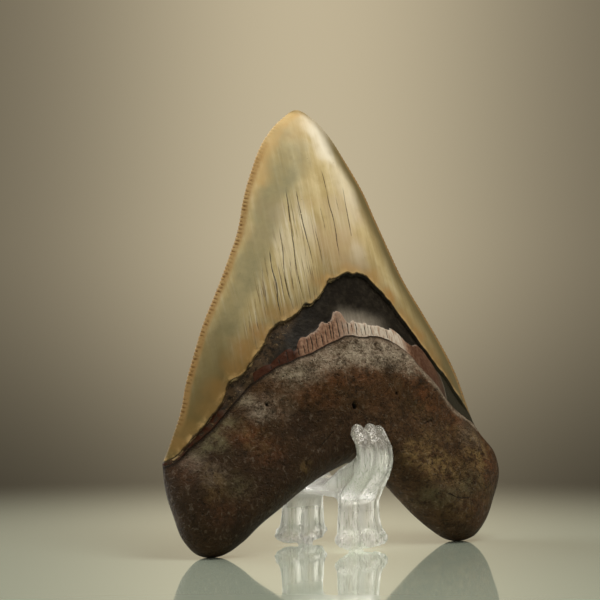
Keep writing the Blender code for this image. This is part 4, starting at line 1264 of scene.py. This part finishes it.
class FOSSIL_OT_add_tooth(bpy.types.Operator):
    """Add the tooth in place of its plain solid"""

    bl_idname = "fossil.add_tooth"
    bl_label = "Add the tooth"

    def execute(self, context):
        scene = context.scene
        tooth = build_tooth(scene.fossil_sizes.tooth_step / MM, fossil_material(scene.fossil_colours))
        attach(tooth, "root")
        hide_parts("tooth")
        return {"FINISHED"}


class FOSSIL_OT_add_stand(bpy.types.Operator):
    """Add the clear stand in place of its plain solid"""

    bl_idname = "fossil.add_stand"
    bl_label = "Add the stand"

    def execute(self, context):
        sizes = context.scene.fossil_sizes
        shift = centring(tooth_rim(SERRATION_PITCH / 5)[0])
        material = acrylic_material(context.scene.fossil_colours)
        stand = build_stand(sizes.stand_step / MM, sizes.crumple / MM, shift, material)
        stand.visible_shadow = False
        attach(stand, "root")
        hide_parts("stand")
        return {"FINISHED"}


class FOSSIL_OT_set_stage(bpy.types.Operator):
    """Add the floor, the background, the lights and the camera"""

    bl_idname = "fossil.set_stage"
    bl_label = "Set the stage"

    def execute(self, context):
        scene = context.scene
        add_floor(scene.fossil_colours, scene.fossil_sizes)
        light_background(scene, scene.fossil_colours)
        for light in LIGHTS:
            add_light(*light)
        add_camera(scene)
        scene.view_settings.view_transform = "Standard"
        return {"FINISHED"}


def add_floor(colours, sizes):
    """A round table top under the stand."""
    mesh = bpy.data.meshes.new("table_top")
    work = bmesh.new()
    bmesh.ops.create_circle(work, cap_ends=True, radius=sizes.floor_reach + 0.02, segments=96)
    work.to_mesh(mesh)
    work.free()
    mesh.materials.append(floor_material(colours, sizes.floor_reach / MM, sizes.floor_fade / MM))
    floor = bpy.data.objects.new("table_top", mesh)
    floor.location = FLOOR_MIDDLE
    bpy.context.scene.collection.objects.link(floor)


def light_background(scene, colours):
    """A plain soft background: a pool of light on a far wall, darker towards the table."""
    world = scene.world = bpy.data.worlds.new("studio")
    s = Shades(world, "Background", "Generated", 1.0)
    x, y, z = s.apart(s.place)
    level = s.add("ShaderNodeVectorMath", {0: s.point(x, y, 0.0)}, operation="NORMALIZE")
    x, y = s.apart(level)[:2]
    sin, cos = math.sin(WALL_TURN), math.cos(WALL_TURN)
    off = x * sin + y * cos - 1.0
    left = y * sin - x * cos
    pool = 0.25 + s.maths("EXPONENT", off * POOL_FOCUS) * 0.75
    far_wall = pool * (0.28 + z.ramp(-0.113, 0.0785) * 0.72)
    # Pale walls to the left and right of the view, behind the tooth
    sides = left.ramp(0.22, 0.36) * LEFT_WALL + left.ramp(-0.62, -0.78) * RIGHT_WALL
    sides = sides * off.ramp(-0.95, -0.6) * z.ramp(0.32, 0.12)
    total = far_wall + sides
    s.put("Strength", total)
    s.put("Color", s.layered(colours.wall, (s.maths("DIVIDE", sides, total), colours.side_wall)))


def add_light(name, place, target, size, power, tint):
    """A soft light, (width, height) in size, that faces its target."""
    light = bpy.data.lights.new(name, "AREA")
    light.shape = "RECTANGLE"
    light.size, light.size_y = size
    light.energy = power
    light.color = tint
    made = bpy.data.objects.new(name, light)
    made.location = place
    made.rotation_euler = (Vector(target) - Vector(place)).to_track_quat("-Z", "Y").to_euler()
    bpy.context.scene.collection.objects.link(made)


def add_camera(scene):
    """The camera, low and to the left of the display face."""
    camera = bpy.data.cameras.new("camera")
    camera.sensor_width = 36.0
    camera.lens = CAMERA_LENS
    made = bpy.data.objects.new("camera", camera)
    made.location = CAMERA_PLACE
    made.rotation_euler = [math.radians(turn) for turn in CAMERA_TURN]
    scene.collection.objects.link(made)
    scene.camera = made


class FOSSIL_PT_pieces(bpy.types.Panel):
    """The pieces of the fossil and their settings"""

    bl_idname = "FOSSIL_PT_pieces"
    bl_label = "Fossil tooth"
    bl_space_type = "VIEW_3D"
    bl_region_type = "UI"
    bl_category = "Fossil"

    def draw(self, context):
        for operator in (FOSSIL_OT_add_tooth, FOSSIL_OT_add_stand, FOSSIL_OT_set_stage):
            self.layout.operator(operator.bl_idname)
        for group in (context.scene.fossil_sizes, context.scene.fossil_colours):
            box = self.layout.box()
            for name in group.bl_rna.properties.keys():
                if name not in ("rna_type", "name"):
                    box.prop(group, name)


CLASSES = (
    FossilColours,
    FossilSizes,
    FOSSIL_OT_add_tooth,
    FOSSIL_OT_add_stand,
    FOSSIL_OT_set_stage,
    FOSSIL_PT_pieces,
)


def register():
    for each in CLASSES:
        bpy.utils.register_class(each)
    bpy.types.Scene.fossil_colours = bpy.props.PointerProperty(type=FossilColours)
    bpy.types.Scene.fossil_sizes = bpy.props.PointerProperty(type=FossilSizes)


def unregister():
    del bpy.types.Scene.fossil_sizes
    del bpy.types.Scene.fossil_colours
    for each in reversed(CLASSES):
        bpy.utils.unregister_class(each)


def main():
    register()
    bpy.ops.fossil.add_tooth()
    bpy.ops.fossil.add_stand()
    bpy.ops.fossil.set_stage()


if __name__ == "__main__":
    main()
